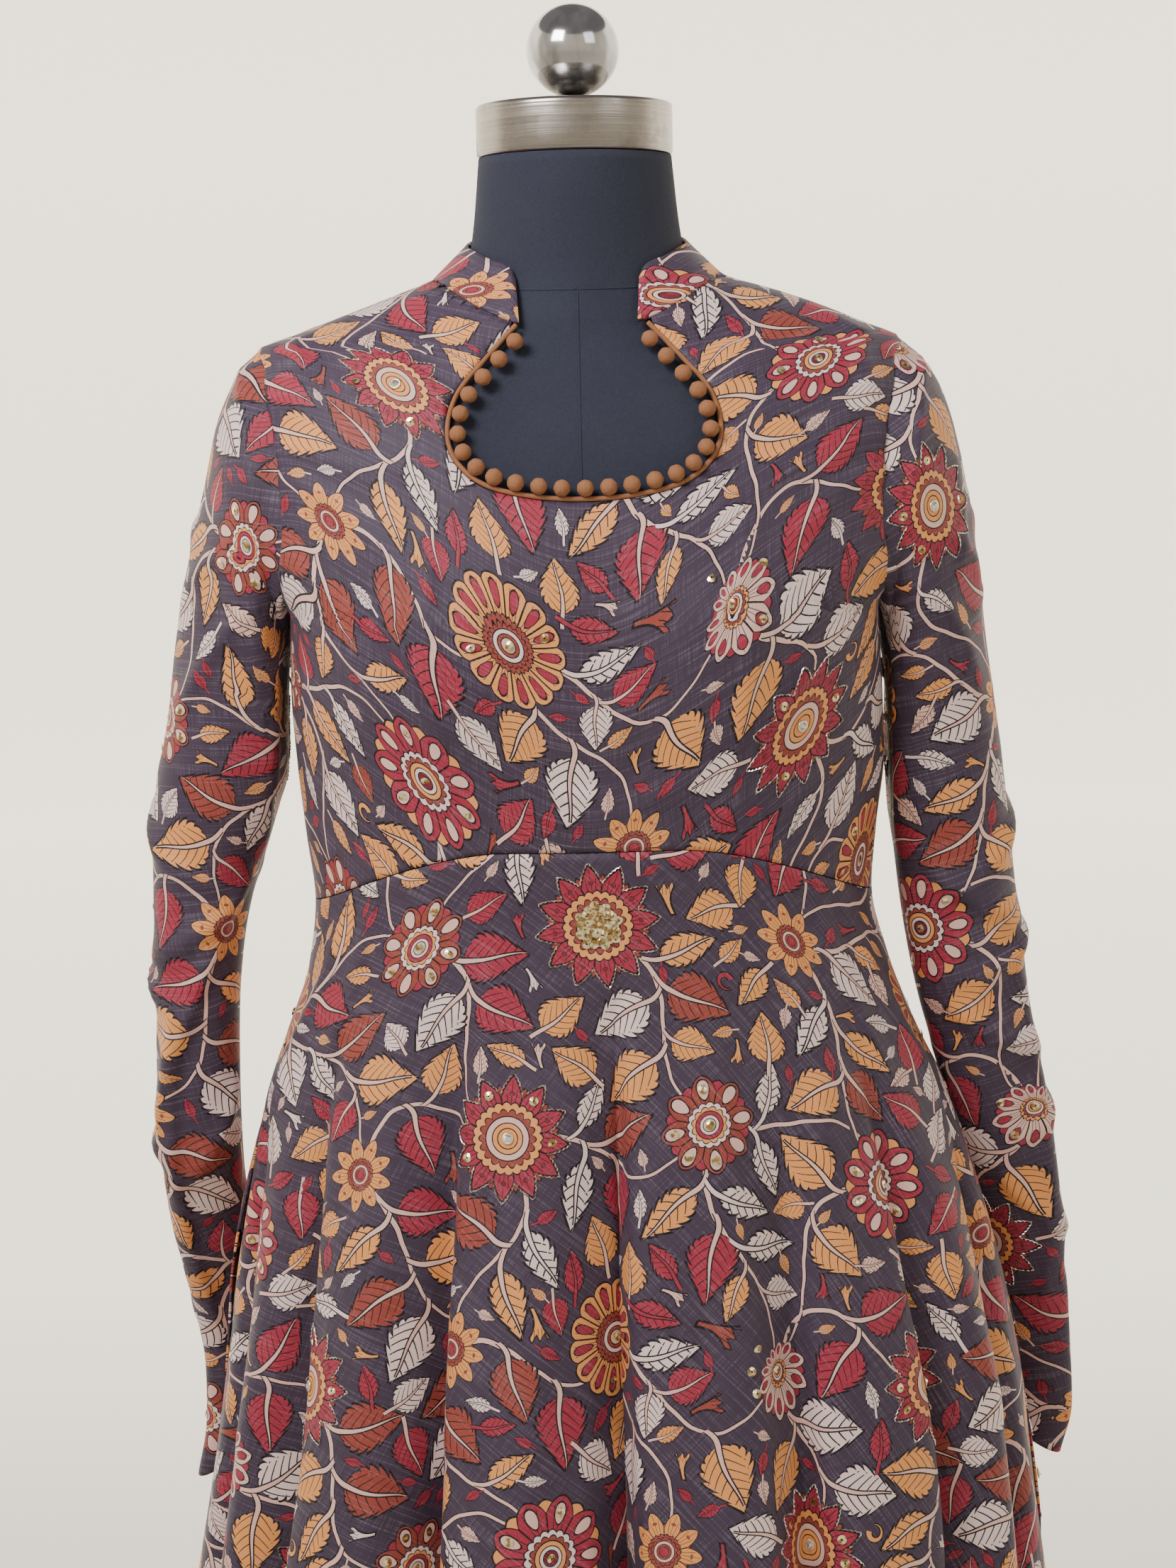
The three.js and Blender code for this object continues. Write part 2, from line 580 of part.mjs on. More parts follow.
for (const [name, rings, side] of [['sleeve_left', SLEEVE_LEFT, 1], ['sleeve_right', SLEEVE_RIGHT, -1]]) {
  const [above, below] = [SLEEVE_SPLIT - SLEEVE_GAP, SLEEVE_SPLIT + SLEEVE_GAP];
  add(`${name}_upper`, sleeve(rings, side, -1, above), KURTA);
  add(`${name}_lower`, sleeve(rings, side, below, rings.length - 1), KURTA);
}

// ---------------------------------------------------------------- collar

function collar() {
  const last = COLLAR.length - 1;
  const surface = (u, v) => {
    const side = 2 * u - 1;
    const row = (1 - Math.abs(side)) * last;
    const sign = side < 0 ? -1 : 1;
    const seamTurn = 180 - sign * (180 - collarRow('seam', row));
    const topTurn = 180 - sign * (180 - collarRow('top', row));
    const [across, ahead] = outline(seamTurn, section('round', NECK_BASE));
    const x = across * COLLAR_SIDE.across;
    const seam = ahead > 0
      ? new THREE.Vector3(x, frontAt(x, collarSeamAt(x)), collarSeamAt(x) + SEAM)
      : new THREE.Vector3(x, -ahead * section('back', COLLAR_SIDE.z), COLLAR_SIDE.z + SEAM);
    const [topAcross, topAhead] = outline(topTurn, 2);
    const top = new THREE.Vector3(
      topAcross * COLLAR_TOP.half,
      -topAhead * (topAhead > 0 ? COLLAR_TOP.front : COLLAR_TOP.back),
      collarRow('z', row),
    );
    return top.lerp(seam, v);
  };
  return wall(surface, { columns: COLLAR_COLUMNS, rows: COLLAR_ROWS, thick: COLLAR_CLOTH, facing: 1 });
}

add('collar', collar(), KURTA);

// ---------------------------------------------------------------- piping and fabric balls

function onFront(place, out) {
  return new THREE.Vector3(place.x, frontAt(place.x, place.y) - out, place.y);
}

function piping() {
  const steps = 40;
  const sides = 6;
  const points = [];
  for (let k = 0; k <= steps; k++) points.push(onFront(besideNeckline(k / steps, 0), 0));
  const ring = new THREE.Shape();
  for (let k = 0; k < sides; k++) {
    const angle = 2 * Math.PI * k / sides;
    const corner = [PIPING * Math.cos(angle), PIPING * Math.sin(angle)];
    if (k === 0) ring.moveTo(...corner);
    else ring.lineTo(...corner);
  }
  return new THREE.ExtrudeGeometry(ring, {
    steps,
    extrudePath: new THREE.CatmullRomCurve3(points),
  });
}

add('neck_piping', piping(), PIPING_CLOTH);

for (let k = 0; k < POTLI_COUNT; k++) {
  const share = POTLI_FIRST + (1 - 2 * POTLI_FIRST) * k / (POTLI_COUNT - 1);
  const name = `potli_${String(k + 1).padStart(2, '0')}`;
  const ball = add(name, new THREE.SphereGeometry(POTLI, ...POTLI_STEPS), PIPING_CLOTH);
  ball.position.copy(onFront(besideNeckline(share, -POTLI_INSET), POTLI_OUT));
}

// ---------------------------------------------------------------- dress form and stand

function formTorso() {
  const rings = FORM.map(({ z, side, front, back, round }) => {
    const ring = [];
    for (let i = 0; i < FORM_COLUMNS; i++) {
      const [across, ahead] = outline(360 * i / FORM_COLUMNS, round);
      const bust = ahead > 0 ? bustAt(across * side, z) : 0;
      ring.push(new THREE.Vector3(across * side, -ahead * (ahead > 0 ? front : back) - bust, z));
    }
    return ring;
  });
  return loft(rings);
}

function turned(profile) {
  const points = profile.map(([radius, z]) => new THREE.Vector2(radius, z));
  return new THREE.LatheGeometry(points, ROUND_SIDES).rotateX(Math.PI / 2);
}

function capProfile() {
  const { radius, low, high, crown, edge } = CAP;
  return [
    [0, low],
    [radius, low],
    [radius, high - edge],
    [radius - edge * CAP_ROUND, high - edge * CAP_ROUND],
    [radius - edge, high],
    [radius / 2, high + (crown - high) * CAP_DOME],
    [0, crown],
  ];
}

function ballProfile() {
  const steps = 8;
  const { radius, centre, foot } = BALL;
  const start = Math.asin((foot - centre) / radius);
  const profile = [[0, foot]];
  for (let k = 0; k < steps; k++) {
    const angle = start + (Math.PI / 2 - start) * k / steps;
    profile.push([radius * Math.cos(angle), centre + radius * Math.sin(angle)]);
  }
  return [...profile, [0, centre + radius]];
}

function baseProfile() {
  const { radius, thick, rim, bevel } = BASE;
  return [[0, 0], [radius, 0], [radius, rim], [radius - bevel, thick], [0, thick]];
}

add('form_torso', formTorso(), FORM_CLOTH);
add('neck_cap', turned(capProfile()), STEEL);
add('finial_ball', turned(ballProfile()), CHROME);

const poleTop = FORM[0].z - SEAM;
const pole = new THREE.CylinderGeometry(POLE.radius, POLE.radius, poleTop - POLE.low, POLE_SIDES);
add('stand_pole', pole.rotateX(Math.PI / 2), STEEL).position.z = (poleTop + POLE.low) / 2;
add('stand_base', turned(baseProfile()), BLACK_PAINT);

export default kurtaOnForm;
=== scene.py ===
import math

import bmesh
import bpy
import numpy as np
from mathutils import Matrix, Vector


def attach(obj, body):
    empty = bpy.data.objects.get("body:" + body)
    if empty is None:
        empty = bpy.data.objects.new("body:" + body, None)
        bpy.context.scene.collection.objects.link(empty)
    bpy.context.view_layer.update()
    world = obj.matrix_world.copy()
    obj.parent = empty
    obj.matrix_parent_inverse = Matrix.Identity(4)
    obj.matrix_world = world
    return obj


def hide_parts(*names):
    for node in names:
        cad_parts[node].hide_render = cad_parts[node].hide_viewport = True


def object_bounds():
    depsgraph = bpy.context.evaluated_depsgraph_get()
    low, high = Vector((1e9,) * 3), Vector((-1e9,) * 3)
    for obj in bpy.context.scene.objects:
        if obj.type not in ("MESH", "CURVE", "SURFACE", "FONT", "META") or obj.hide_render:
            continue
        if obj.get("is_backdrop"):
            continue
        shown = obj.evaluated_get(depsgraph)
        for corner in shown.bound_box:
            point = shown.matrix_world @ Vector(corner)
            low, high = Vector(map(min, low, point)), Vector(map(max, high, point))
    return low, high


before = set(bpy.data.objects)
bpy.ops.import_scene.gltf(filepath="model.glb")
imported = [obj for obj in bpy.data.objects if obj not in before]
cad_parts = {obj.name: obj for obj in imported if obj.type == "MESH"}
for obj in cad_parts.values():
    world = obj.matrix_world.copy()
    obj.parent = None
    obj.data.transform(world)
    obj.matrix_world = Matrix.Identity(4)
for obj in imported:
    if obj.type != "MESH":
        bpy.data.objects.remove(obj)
bounds_at_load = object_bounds()


# ---------------------------------------------------------------- the printed cotton
# Plum-grey cotton slub, printed all over with a traditional trailing floral: star-shaped and round
# flowers, toothed leaves, bell flowers and curls on pale vines. The repeat is laid out here, on a
# tile that wraps. Each face of cloth is told what crosses it, and the shader draws it there.

TILE = 460
dice = np.random.default_rng(11)

INK = (0.007, 0.004, 0.006)
GROUND = (0.054, 0.036, 0.064)
CRIMSON, RUST, OCHRE = (0.35, 0.027, 0.056), (0.30, 0.056, 0.040), (0.82, 0.34, 0.10)
PALE, BEIGE = (0.84, 0.66, 0.64), (0.80, 0.51, 0.44)
CREAM, WINE = (0.74, 0.56, 0.38), (0.18, 0.018, 0.028)

# A row for each kind of flower. size: radius; petals, cut, bow: how many, how deep between them and
# how round; back: reach of the petals behind; ring: radius of the scalloped ring; drop: length of the
# inset in each petal, and slim: its width; lean: how far one side is shortened. Then the colours.
FLOWER_KINDS = [
    dict(size=35, petals=12, cut=.34, bow=1.05, back=.86, ring=.56, drop=.02, slim=.2, lean=0,
         petal=CRIMSON, behind=RUST, inset=WINE, scallop=OCHRE, inner=RUST, core=BEIGE, eye=OCHRE),
    dict(size=34, petals=9, cut=.28, bow=1.7, back=.95, ring=.44, drop=.15, slim=.34, lean=0,
         petal=CRIMSON, behind=OCHRE, inset=BEIGE, scallop=PALE, inner=RUST, core=OCHRE, eye=WINE),
    dict(size=33, petals=14, cut=.12, bow=3.0, back=.70, ring=.42, drop=.17, slim=.42, lean=0,
         petal=OCHRE, behind=RUST, inset=CRIMSON, scallop=RUST, inner=RUST, core=PALE, eye=CREAM),
    dict(size=22, petals=9, cut=.42, bow=1.5, back=.70, ring=.42, drop=.02, slim=.2, lean=0,
         petal=OCHRE, behind=RUST, inset=RUST, scallop=RUST, inner=RUST, core=BEIGE, eye=CRIMSON),
    dict(size=28, petals=8, cut=.34, bow=1.7, back=.90, ring=.44, drop=.18, slim=.40, lean=0,
         petal=RUST, behind=CRIMSON, inset=BEIGE, scallop=PALE, inner=OCHRE, core=CRIMSON, eye=CREAM),
    dict(size=30, petals=11, cut=.30, bow=1.6, back=.92, ring=.34, drop=.13, slim=.36, lean=.60,
         petal=BEIGE, behind=CRIMSON, inset=CRIMSON, scallop=OCHRE, inner=RUST, core=PALE, eye=RUST),
]
# A row for each kind of leaf. wide: half width for a length of 1; belly: below 1 it is widest nearer
# its foot; saw, teeth: depth and number of the teeth; veins: how thick. Then its colour and midrib's.
LEAF_KINDS = [
    dict(wide=.40, belly=.66, saw=.26, teeth=7, veins=1, tone=PALE, rib=BEIGE),
    dict(wide=.39, belly=.60, saw=.22, teeth=8, veins=.4, tone=CRIMSON, rib=BEIGE),
    dict(wide=.39, belly=.64, saw=.24, teeth=7, veins=.4, tone=RUST, rib=BEIGE),
    dict(wide=.40, belly=.62, saw=.24, teeth=7, veins=.4, tone=OCHRE, rib=BEIGE),
    dict(wide=.25, belly=.75, saw=.34, teeth=6, veins=1, tone=PALE, rib=PALE),
    dict(wide=.27, belly=.70, saw=.26, teeth=7, veins=.5, tone=OCHRE, rib=BEIGE),
    dict(wide=.26, belly=.74, saw=.26, teeth=7, veins=.4, tone=CRIMSON, rib=CRIMSON),
    dict(wide=.30, belly=.60, saw=.30, teeth=5, veins=.8, tone=BEIGE, rib=BEIGE),
]
TRIM_TONES = [PALE, CRIMSON, RUST, OCHRE, BEIGE]
STALK, STALK_BOW = 0.24, 1.7   # the stalk's length and how it bends, for a leaf of length 1
HANDED = 0.2                   # a leaf's kind is written this much high or low: which way it bends

taken = np.zeros((TILE, TILE), bool)                # the repeat, in cells of 1 mm


def leaf_half(kind, along):
    """Half the width of a leaf of length 1, at places along it."""
    row = LEAF_KINDS[kind]
    return row["wide"] * np.sin(np.pi * np.clip(along, 0, 1) ** row["belly"])


def unit(vectors):
    return vectors / np.linalg.norm(vectors, axis=-1, keepdims=True)


def run_along(line):
    """How far along a line of points each one is."""
    return np.concatenate([[0], np.cumsum(np.linalg.norm(np.diff(line, axis=0), axis=1))])


def footprint_of(x, y, angle, along, across):
    """The cells of the repeat under a motif, for places along and across it in mm."""
    c, s = math.cos(angle), math.sin(angle)
    px, py = x + c * along - s * across, y + s * along + c * across
    return tuple(np.floor(p).astype(int).ravel() % TILE for p in (py, px))


def leaf_cells(x, y, angle, length, kind, swell=0.0):
    along, across = np.meshgrid(np.linspace(0, 1, 30), np.linspace(-1, 1, 21))
    half = leaf_half(kind, along) * length + swell
    return footprint_of(x, y, angle, along * (length + swell), across * half)


def disc_cells(x, y, radius):
    turn, share = np.meshgrid(np.linspace(0, 2 * np.pi, 90), np.linspace(0, 1, 36))
    return footprint_of(x, y, 0, radius * share * np.cos(turn), radius * share * np.sin(turn))


def bell_cells(x, y, angle, length, swell):
    along, across = np.meshgrid(np.linspace(0, 1, 24), np.linspace(-1, 1, 17))
    half = (0.09 + 0.36 * along ** 3) * length + swell
    return footprint_of(x, y, angle, along * (length + swell), across * half)


# Flowers stand on a loose diamond lattice: kind of flower in each row and column of it.
LATTICE = [
    (0, 3, 2, 4),
    (4, 1, 3, 0),
    (2, 5, 0, 3),
    (3, 0, 4, 1),
]
COUNT = len(LATTICE)           # of its rows, and of its columns
PITCH = TILE / COUNT
STRAY = 12                     # how far a flower may stray from its place
flowers, leaves, bells, curls, vines = [], [], [], [], []
for row, kinds in enumerate(LATTICE):
    for column, kind in enumerate(kinds):
        x = (column + 0.5 * (row % 2)) * PITCH + dice.uniform(-STRAY, STRAY)
        y = row * PITCH + dice.uniform(-STRAY, STRAY)
        flowers.append((kind, x % TILE, y % TILE, dice.uniform(0, 2 * math.pi)))
for kind, x, y, _ in flowers:
    taken[disc_cells(x, y, FLOWER_KINDS[kind]["size"] + 1.5)] = True


def vine(start, finish, bulge, twist):
    """Points down an S-shaped stem from start to finish, about 2 mm apart."""
    start, finish = np.array(start, float), np.array(finish, float)
    chord = finish - start
    aside = np.array([-chord[1], chord[0]]) / np.linalg.norm(chord)
    f = np.linspace(0, 1, int(np.linalg.norm(chord) / 2) + 2)[:, None]
    sway = bulge * np.sin(np.pi * f) + twist * np.sin(2 * np.pi * f)
    return start + chord * f + aside * sway


def nearest_copy(x, y, near):
    """The copy of a place, in the repeats around, that is nearest to another."""
    return (x + TILE * round((near[0] - x) / TILE), y + TILE * round((near[1] - y) / TILE))


for row in range(COUNT):
    for column in range(COUNT):
        _, x, y, _ = flowers[row * COUNT + column]
        # a vine goes to the next flower across, but for every third, and one to a flower below
        links = [(row, column + 1), (row + 1, column + (row % 2) * ((row + column) % 2))]
        for k, (next_row, next_column) in enumerate(links):
            if k == 0 and (row + 2 * column) % 3 == 0:
                continue
            _, nx, ny, _ = flowers[next_row % COUNT * COUNT + next_column % COUNT]
            end = nearest_copy(nx, ny, (x, y))
            twist = dice.uniform(8, 16) * dice.choice([-1, 1])
            vines.append(vine((x, y), end, dice.uniform(-30, 30), twist))
for path in vines:
    for shift in (-1.5, 0, 1.5):
        taken[tuple(np.floor(path[:, k] + shift).astype(int) % TILE for k in (1, 0))] = True


OVERLAP = 0.012                # share of a leaf on a vine that may lie over what is there


def try_leaf(foot, angle, length, kind, gap, side):
    """Puts a leaf on a stalk that starts on a vine at foot, where there is room for it."""
    ahead = np.array([math.cos(angle), math.sin(angle)])
    left = np.array([-math.sin(angle), math.cos(angle)])
    x, y = foot + length * (STALK * ahead - side * STALK_BOW * STALK ** 2 * left)
    if taken[leaf_cells(x, y, angle, length, kind, gap)].mean() > OVERLAP:
        return False
    taken[leaf_cells(x, y, angle, length, kind)] = True
    leaves.append((kind + side * HANDED, x % TILE, y % TILE, angle, length))
    return True


VINE_LEAVES = [0, 0, 1, 1, 1, 2, 3, 3, 0, 4, 5]      # kinds, the usual ones more than once
VINE_ENDS, LEAF_EVERY = 6, 3   # points of a vine: bare ones at each end, and from leaf to leaf
for size, gap in ((38, 1.0), (32, 1.0), (27, 0.9)):  # length, and the gap kept round it
    for path in vines:
        side = 1
        for k in range(VINE_ENDS, len(path) - VINE_ENDS, LEAF_EVERY):
            heading = math.atan2(*(path[k + 1] - path[k - 1])[::-1])
            for _ in range(3):
                side = -side
                lean = heading + side * dice.uniform(0.6, 1.5)
                kind = int(dice.choice(VINE_LEAVES))
                if try_leaf(path[k], lean, size * dice.uniform(0.92, 1.06), kind, gap, side):
                    break


def scatter(motifs, count, tries, length, kind_of, cells_of):
    """Tries places and turns at random for a motif, and keeps those that are clear."""
    for _ in range(tries):
        spot = (*dice.uniform(0, TILE, 2), dice.uniform(0, 2 * math.pi))
        if not taken[cells_of(*spot, 1.1)].any():
            taken[cells_of(*spot, 0.0)] = True
            motifs.append((kind_of(), *spot, length))
            count -= 1
            if count == 0:
                return


def scatter_leaves(count, tries, lengths, kinds):
    """Leaves where the cloth is still clear, up to count of each length and kind."""
    for length in lengths:
        for kind in kinds:
            scatter(leaves, count, tries, length, lambda: kind,
                    lambda x, y, angle, gap: leaf_cells(x, y, angle, length, kind, gap))


def any_tone():
    return int(dice.integers(len(TRIM_TONES)))


scatter_leaves(8, 420, (30, 25, 21), (3, 1, 0, 2, 5, 7, 4, 6))
for length, count in ((24, 20), (19, 34), (15, 40)):
    scatter(bells, count, 3600, length, any_tone,
            lambda x, y, angle, gap: bell_cells(x, y, angle, length, gap))
scatter_leaves(16, 1100, (17, 13.5), (7, 6, 4, 5))
CURL, CURL_CLEAR = 7.5, 6.3    # radius of a curl, and of what has to be clear for it
scatter(curls, 90, 6000, CURL, any_tone,
        lambda x, y, angle, gap: disc_cells(x, y, CURL_CLEAR + 0.6 * gap))
scatter_leaves(60, 2600, (10.5,), (6, 7, 5))


def stamp(spots, spot, size, inside):
    """Local coordinates of a motif at every corner of the faces that it touches."""
    x, y, angle = spot
    away = spots["middle"] - (x, y)
    copy = np.round(away / TILE)
    c, s = math.cos(angle) / size, math.sin(angle) / size
    turn = np.array([[c, -s], [s, c]])
    local = (away - copy * TILE) @ turn
    chosen = inside(local[:, 0], local[:, 1], spots["reach"] / size)
    corner = np.flatnonzero(chosen[spots["face"]])
    face = spots["face"][corner]
    return corner, face, (spots["flat"][corner] - (x, y) - copy[face] * TILE) @ turn


LEAF_SLOTS = 3                 # how many leaves may cross one face of the cloth
STEM_HALF, STEM_TAPER = 2.1, 0.5  # half the width of a vine at its start, and the share it loses
CLEAR = -9.0                   # written where no motif is near


def in_bell(x, y, near):
    return (x > -near) & (x < 1.05 + near) & (np.abs(y) < 0.1 + 0.4 * np.clip(x, 0, 1) ** 3 + near)


def in_disc(x, y, near):
    return np.hypot(x, y) < 1 + near


def print_cloth(mesh, shift, slub_turn):
    """Writes on each corner of the cloth which flower, leaves and vine cross its face, and where."""
    count = len(mesh.loops)
    flat = np.empty(count * 3)
    mesh.attributes["flat"].data.foreach_get("vector", flat)
    flat = flat.reshape(-1, 3)[:, :2]
    totals = np.empty(len(mesh.polygons), int)
    mesh.polygons.foreach_get("loop_total", totals)
    face = np.repeat(np.arange(len(totals)), totals)
    middle = np.stack([np.bincount(face, flat[:, k]) / totals for k in (0, 1)], axis=1)
    reach = np.zeros(len(totals))
    np.maximum.at(reach, face, np.linalg.norm(flat - middle[face], axis=1))
    spots = dict(flat=flat + shift, middle=middle + shift, face=face, reach=reach)

    names = ["flower", "bell", "curl", "vine"] + [f"leaf{k + 1}" for k in range(LEAF_SLOTS)]
    layers = {name: np.full((count, 3), CLEAR) for name in names}

    def write(name, corner, local, kind):
        layers[name][corner] = np.column_stack([local, np.full(len(corner), float(kind))])

    full = np.zeros(len(totals), int)
    for kind, x, y, angle, length in leaves:
        corner, at, local = stamp(
            spots, (x, y, angle), length,
            lambda px, py, near: (px > -STALK - near) & (px < 1 + near)
            & (np.abs(py) < leaf_half(round(kind), px) + near + 0.03 + 0.13 * (px < 0)))
        for slot in range(LEAF_SLOTS):
            free = full[at] == slot
            write(f"leaf{slot + 1}", corner[free], local[free], kind)
        full[np.unique(at)] += 1
    heads = [(*flower, FLOWER_KINDS[flower[0]]["size"]) for flower in flowers]
    for name, motifs, inside in (("bell", bells, in_bell), ("curl", curls, in_disc),
                                 ("flower", heads, in_disc)):
        for kind, x, y, angle, size in motifs:
            corner, _, local = stamp(spots, (x, y, angle), size, inside)
            write(name, corner, local, kind)

    best = np.full(len(totals), 1e9)
    for path in vines:
        run, heading = run_along(path), unit(np.gradient(path, axis=0))
        away = spots["middle"][:, None] - path[None, ::3]
        copy = np.round(away / TILE)
        gap = np.linalg.norm(away - copy * TILE, axis=2)
        nearest = gap.argmin(axis=1)
        rows = np.arange(len(gap))
        near = gap[rows, nearest]
        chosen = (near < best) & (near < STEM_HALF + spots["reach"] + 3)
        best[chosen] = near[chosen]
        copy = copy[rows, nearest]
        corner = np.flatnonzero(chosen[face])
        own = spots["flat"][corner] - copy[face[corner]] * TILE
        k = np.linalg.norm(own[:, None] - path[None], axis=2).argmin(axis=1)
        offset = own - path[k]
        along = run[k] + (offset * heading[k]).sum(axis=1)
        across = heading[k, 0] * offset[:, 1] - heading[k, 1] * offset[:, 0]
        half = STEM_HALF * (1 - STEM_TAPER * along / run[-1])
        layers["vine"][corner] = np.column_stack([along, across, half])

    c, s = math.cos(slub_turn), math.sin(slub_turn)
    layers["slub"] = np.column_stack([flat @ [c, s], flat @ [-s, c], np.zeros(count)])
    for name, values in layers.items():
        layer = mesh.attributes.new(name, "FLOAT_VECTOR", "CORNER")
        layer.data.foreach_set("vector", values.reshape(-1))


class Sum:
    """A shader value that takes Python's arithmetic, one Math node for each operator."""

    def __init__(self, tree, socket):
        self.tree, self.socket = tree, socket

    def node(self, kind, inputs, output=0, **settings):
        node = self.tree.nodes.new(kind)
        for key, value in settings.items():
            setattr(node, key, value)
        for key, value in inputs.items():
            if isinstance(value, Sum):
                self.tree.links.new(value.socket, node.inputs[key])
            else:
                node.inputs[key].default_value = value
        return Sum(self.tree, node.outputs[output])

    def math(self, operation, *others, first=True):
        values = (self, *others) if first else (*others, self)
        return self.node("ShaderNodeMath", dict(enumerate(values)), operation=operation)

    def __add__(self, other): return self.math("ADD", other)
    def __radd__(self, other): return self.math("ADD", other)
    def __sub__(self, other): return self.math("SUBTRACT", other)
    def __rsub__(self, other): return self.math("SUBTRACT", other, first=False)
    def __mul__(self, other): return self.math("MULTIPLY", other)
    def __rmul__(self, other): return self.math("MULTIPLY", other)
    def __truediv__(self, other): return self.math("DIVIDE", other)
    def __rtruediv__(self, other): return self.math("DIVIDE", other, first=False)
    def __pow__(self, other): return self.math("POWER", other)
    def __lt__(self, other): return self.math("LESS_THAN", other)
    def __gt__(self, other): return self.math("GREATER_THAN", other)
    def __abs__(self): return self.math("ABSOLUTE")

    def held(self, low=0, high=1):
        return self.math("MAXIMUM", low).math("MINIMUM", high)

    def noise(self, scale, detail):
        return self.node("ShaderNodeTexNoise", {"Vector": self, "Scale": scale, "Detail": detail})

    def into(self, surface, name):
        self.tree.links.new(self.socket, surface.inputs[name])

    def raise_grain(self, surface, strength, distance):
        """Lets this value stand up from the surface, as its fine grain."""
        bump = {"Height": self, "Strength": strength, "Distance": distance}
        self.node("ShaderNodeBump", bump).into(surface, "Normal")

    def parts(self):
        kind = "ShaderNodeSeparateColor" if self.socket.type == "RGBA" else "ShaderNodeSeparateXYZ"
        return [self.node(kind, {0: self}, output=k) for k in range(3)]

    def over(self, under, share):
        """This colour laid over another by a share."""
        inputs = {0: share, 6: under, 7: self}
        return self.node("ShaderNodeMix", inputs, output=2, data_type="RGBA")

    def pick(self, rows):
        """The row whose number is this value, as a colour."""
        ramp = self.tree.nodes.new("ShaderNodeValToRGB")
        self.tree.links.new(((self + 0.5) / len(rows)).socket, ramp.inputs[0])
        stops = ramp.color_ramp
        stops.interpolation = "CONSTANT"
        while len(stops.elements) < len(rows):
            stops.elements.new(1)
        for k, row in enumerate(rows):
            stops.elements[k].position = k / len(rows)
            stops.elements[k].color = (*row, 1)
        return Sum(self.tree, ramp.outputs[0])


def attribute(tree, name):
    node = tree.nodes.new("ShaderNodeAttribute")
    node.attribute_name = name
    return Sum(tree, node.outputs["Vector"])


def tone(tree, colour):
    node = tree.nodes.new("ShaderNodeRGB")
    node.outputs[0].default_value = (*colour, 1)
    return Sum(tree, node.outputs[0])


def wave(value):
    """0 at each whole number and 1 midway between."""
    return 1 - abs(value.math("FRACT") * 2 - 1)


# Inside a motif, x runs from its foot to its tip and y aside, and its size or length is 1. The pen's
# lines are drawn where a distance is within a small share of that.


def draw_vine(under):
    """A stem that wanders a little and thins towards its end."""
    tree = under.tree
    along, across, half = attribute(tree, "vine").parts()
    away = abs(across + (along * 0.35).math("SINE") * 0.25)
    colour = tone(tree, INK).over(tone(tree, BEIGE), (away > half - 0.55).math("MAXIMUM", (half < 0.4)))
    return colour.over(under, away < half)


def draw_leaf(under, name):
    """A toothed leaf on a bent stalk, with its midrib and veins."""
    tree = under.tree
    ink = tone(tree, INK)
    x, y, kind = attribute(tree, name).parts()
    hand = ((kind + 0.5).math("FRACT") - 0.5) / HANDED
    wide, belly, saw = kind.pick([(r["wide"], r["belly"], r["saw"]) for r in LEAF_KINDS]).parts()
    teeth, veins, _ = kind.pick([(r["teeth"] / 20, r["veins"], 0) for r in LEAF_KINDS]).parts()
    inside = x.held()
    foot = x.math("MINIMUM", 0)
    rib_y = (x * 5.2).math("SINE") * 0.035 + hand * foot * foot * STALK_BOW
    away = abs(y)
    notch = ((inside + away * 0.5) * teeth * 20).math("FRACT")
    half = (inside ** belly * math.pi).math("SINE") * wide * (1 - saw * notch * notch)
    from_rib = abs(y - rib_y)
    slant = (x - from_rib * 0.55 - from_rib * from_rib * 1.4) * 6.6
    vein = (slant.math("FRACT") < 0.08 + 0.09 * veins) * (from_rib < half * 0.82) * (x < 0.86)
    colour = ink.over(kind.pick([r["tone"] for r in LEAF_KINDS]), vein)
    colour = ink.over(colour, away > half - 0.014)
    thick = (0.036 - 0.036 * x).math("MINIMUM", 0.036)
    rib = (from_rib < thick) * (x > -STALK - 0.03)
    rib_edge = (from_rib < thick + 0.022) * (x > -STALK - 0.03) * (x < 0.9)
    colour = ink.over(colour, rib_edge)
    colour = kind.pick([r["rib"] for r in LEAF_KINDS]).over(colour, rib)
    inked = (away < half + 0.030) * (x > -0.02) * (x < 1.01)
    return colour.over(under, inked.math("MAXIMUM", rib_edge))


def draw_bell(under):
    """A bell flower seen from the side, flaring to a lobed mouth."""
    tree = under.tree
    x, y, kind = attribute(tree, "bell").parts()
    inside = x.math("MAXIMUM", 0)
    bent = y - (x - 0.5) * (x - 0.5) * 0.35 + 0.06
    half = 0.07 + 0.34 * inside * inside * inside
    mouth = 0.98 - 0.20 * wave(bent * 4.2 + 0.25)
    far = (abs(bent) - half).math("MAXIMUM", x - mouth).math("MAXIMUM", 0 - x)
    stroke = ((bent * 9).math("FRACT") < 0.16) * (x > 0.62)
    colour = tone(tree, INK).over(kind.pick(TRIM_TONES), (far > -0.03).math("MAXIMUM", stroke))
    return colour.over(under, far < 0.03)


def draw_curl(under):
    """A hooked tendril that thickens to a round head."""
    tree = under.tree
    x, y, kind = attribute(tree, "curl").parts()
    far = (x * x + y * y).math("SQRT")
    turn = y.math("ARCTAN2", x) / (2 * math.pi) + 0.5
    thick = 0.06 + 0.26 * turn * (turn < 0.8)
    away = abs(far - 0.62 + 0.18 * turn) - thick
    colour = tone(tree, INK).over(kind.pick(TRIM_TONES), away > -0.05)
    return colour.over(under, (away < 0.06) * (turn < 0.8))


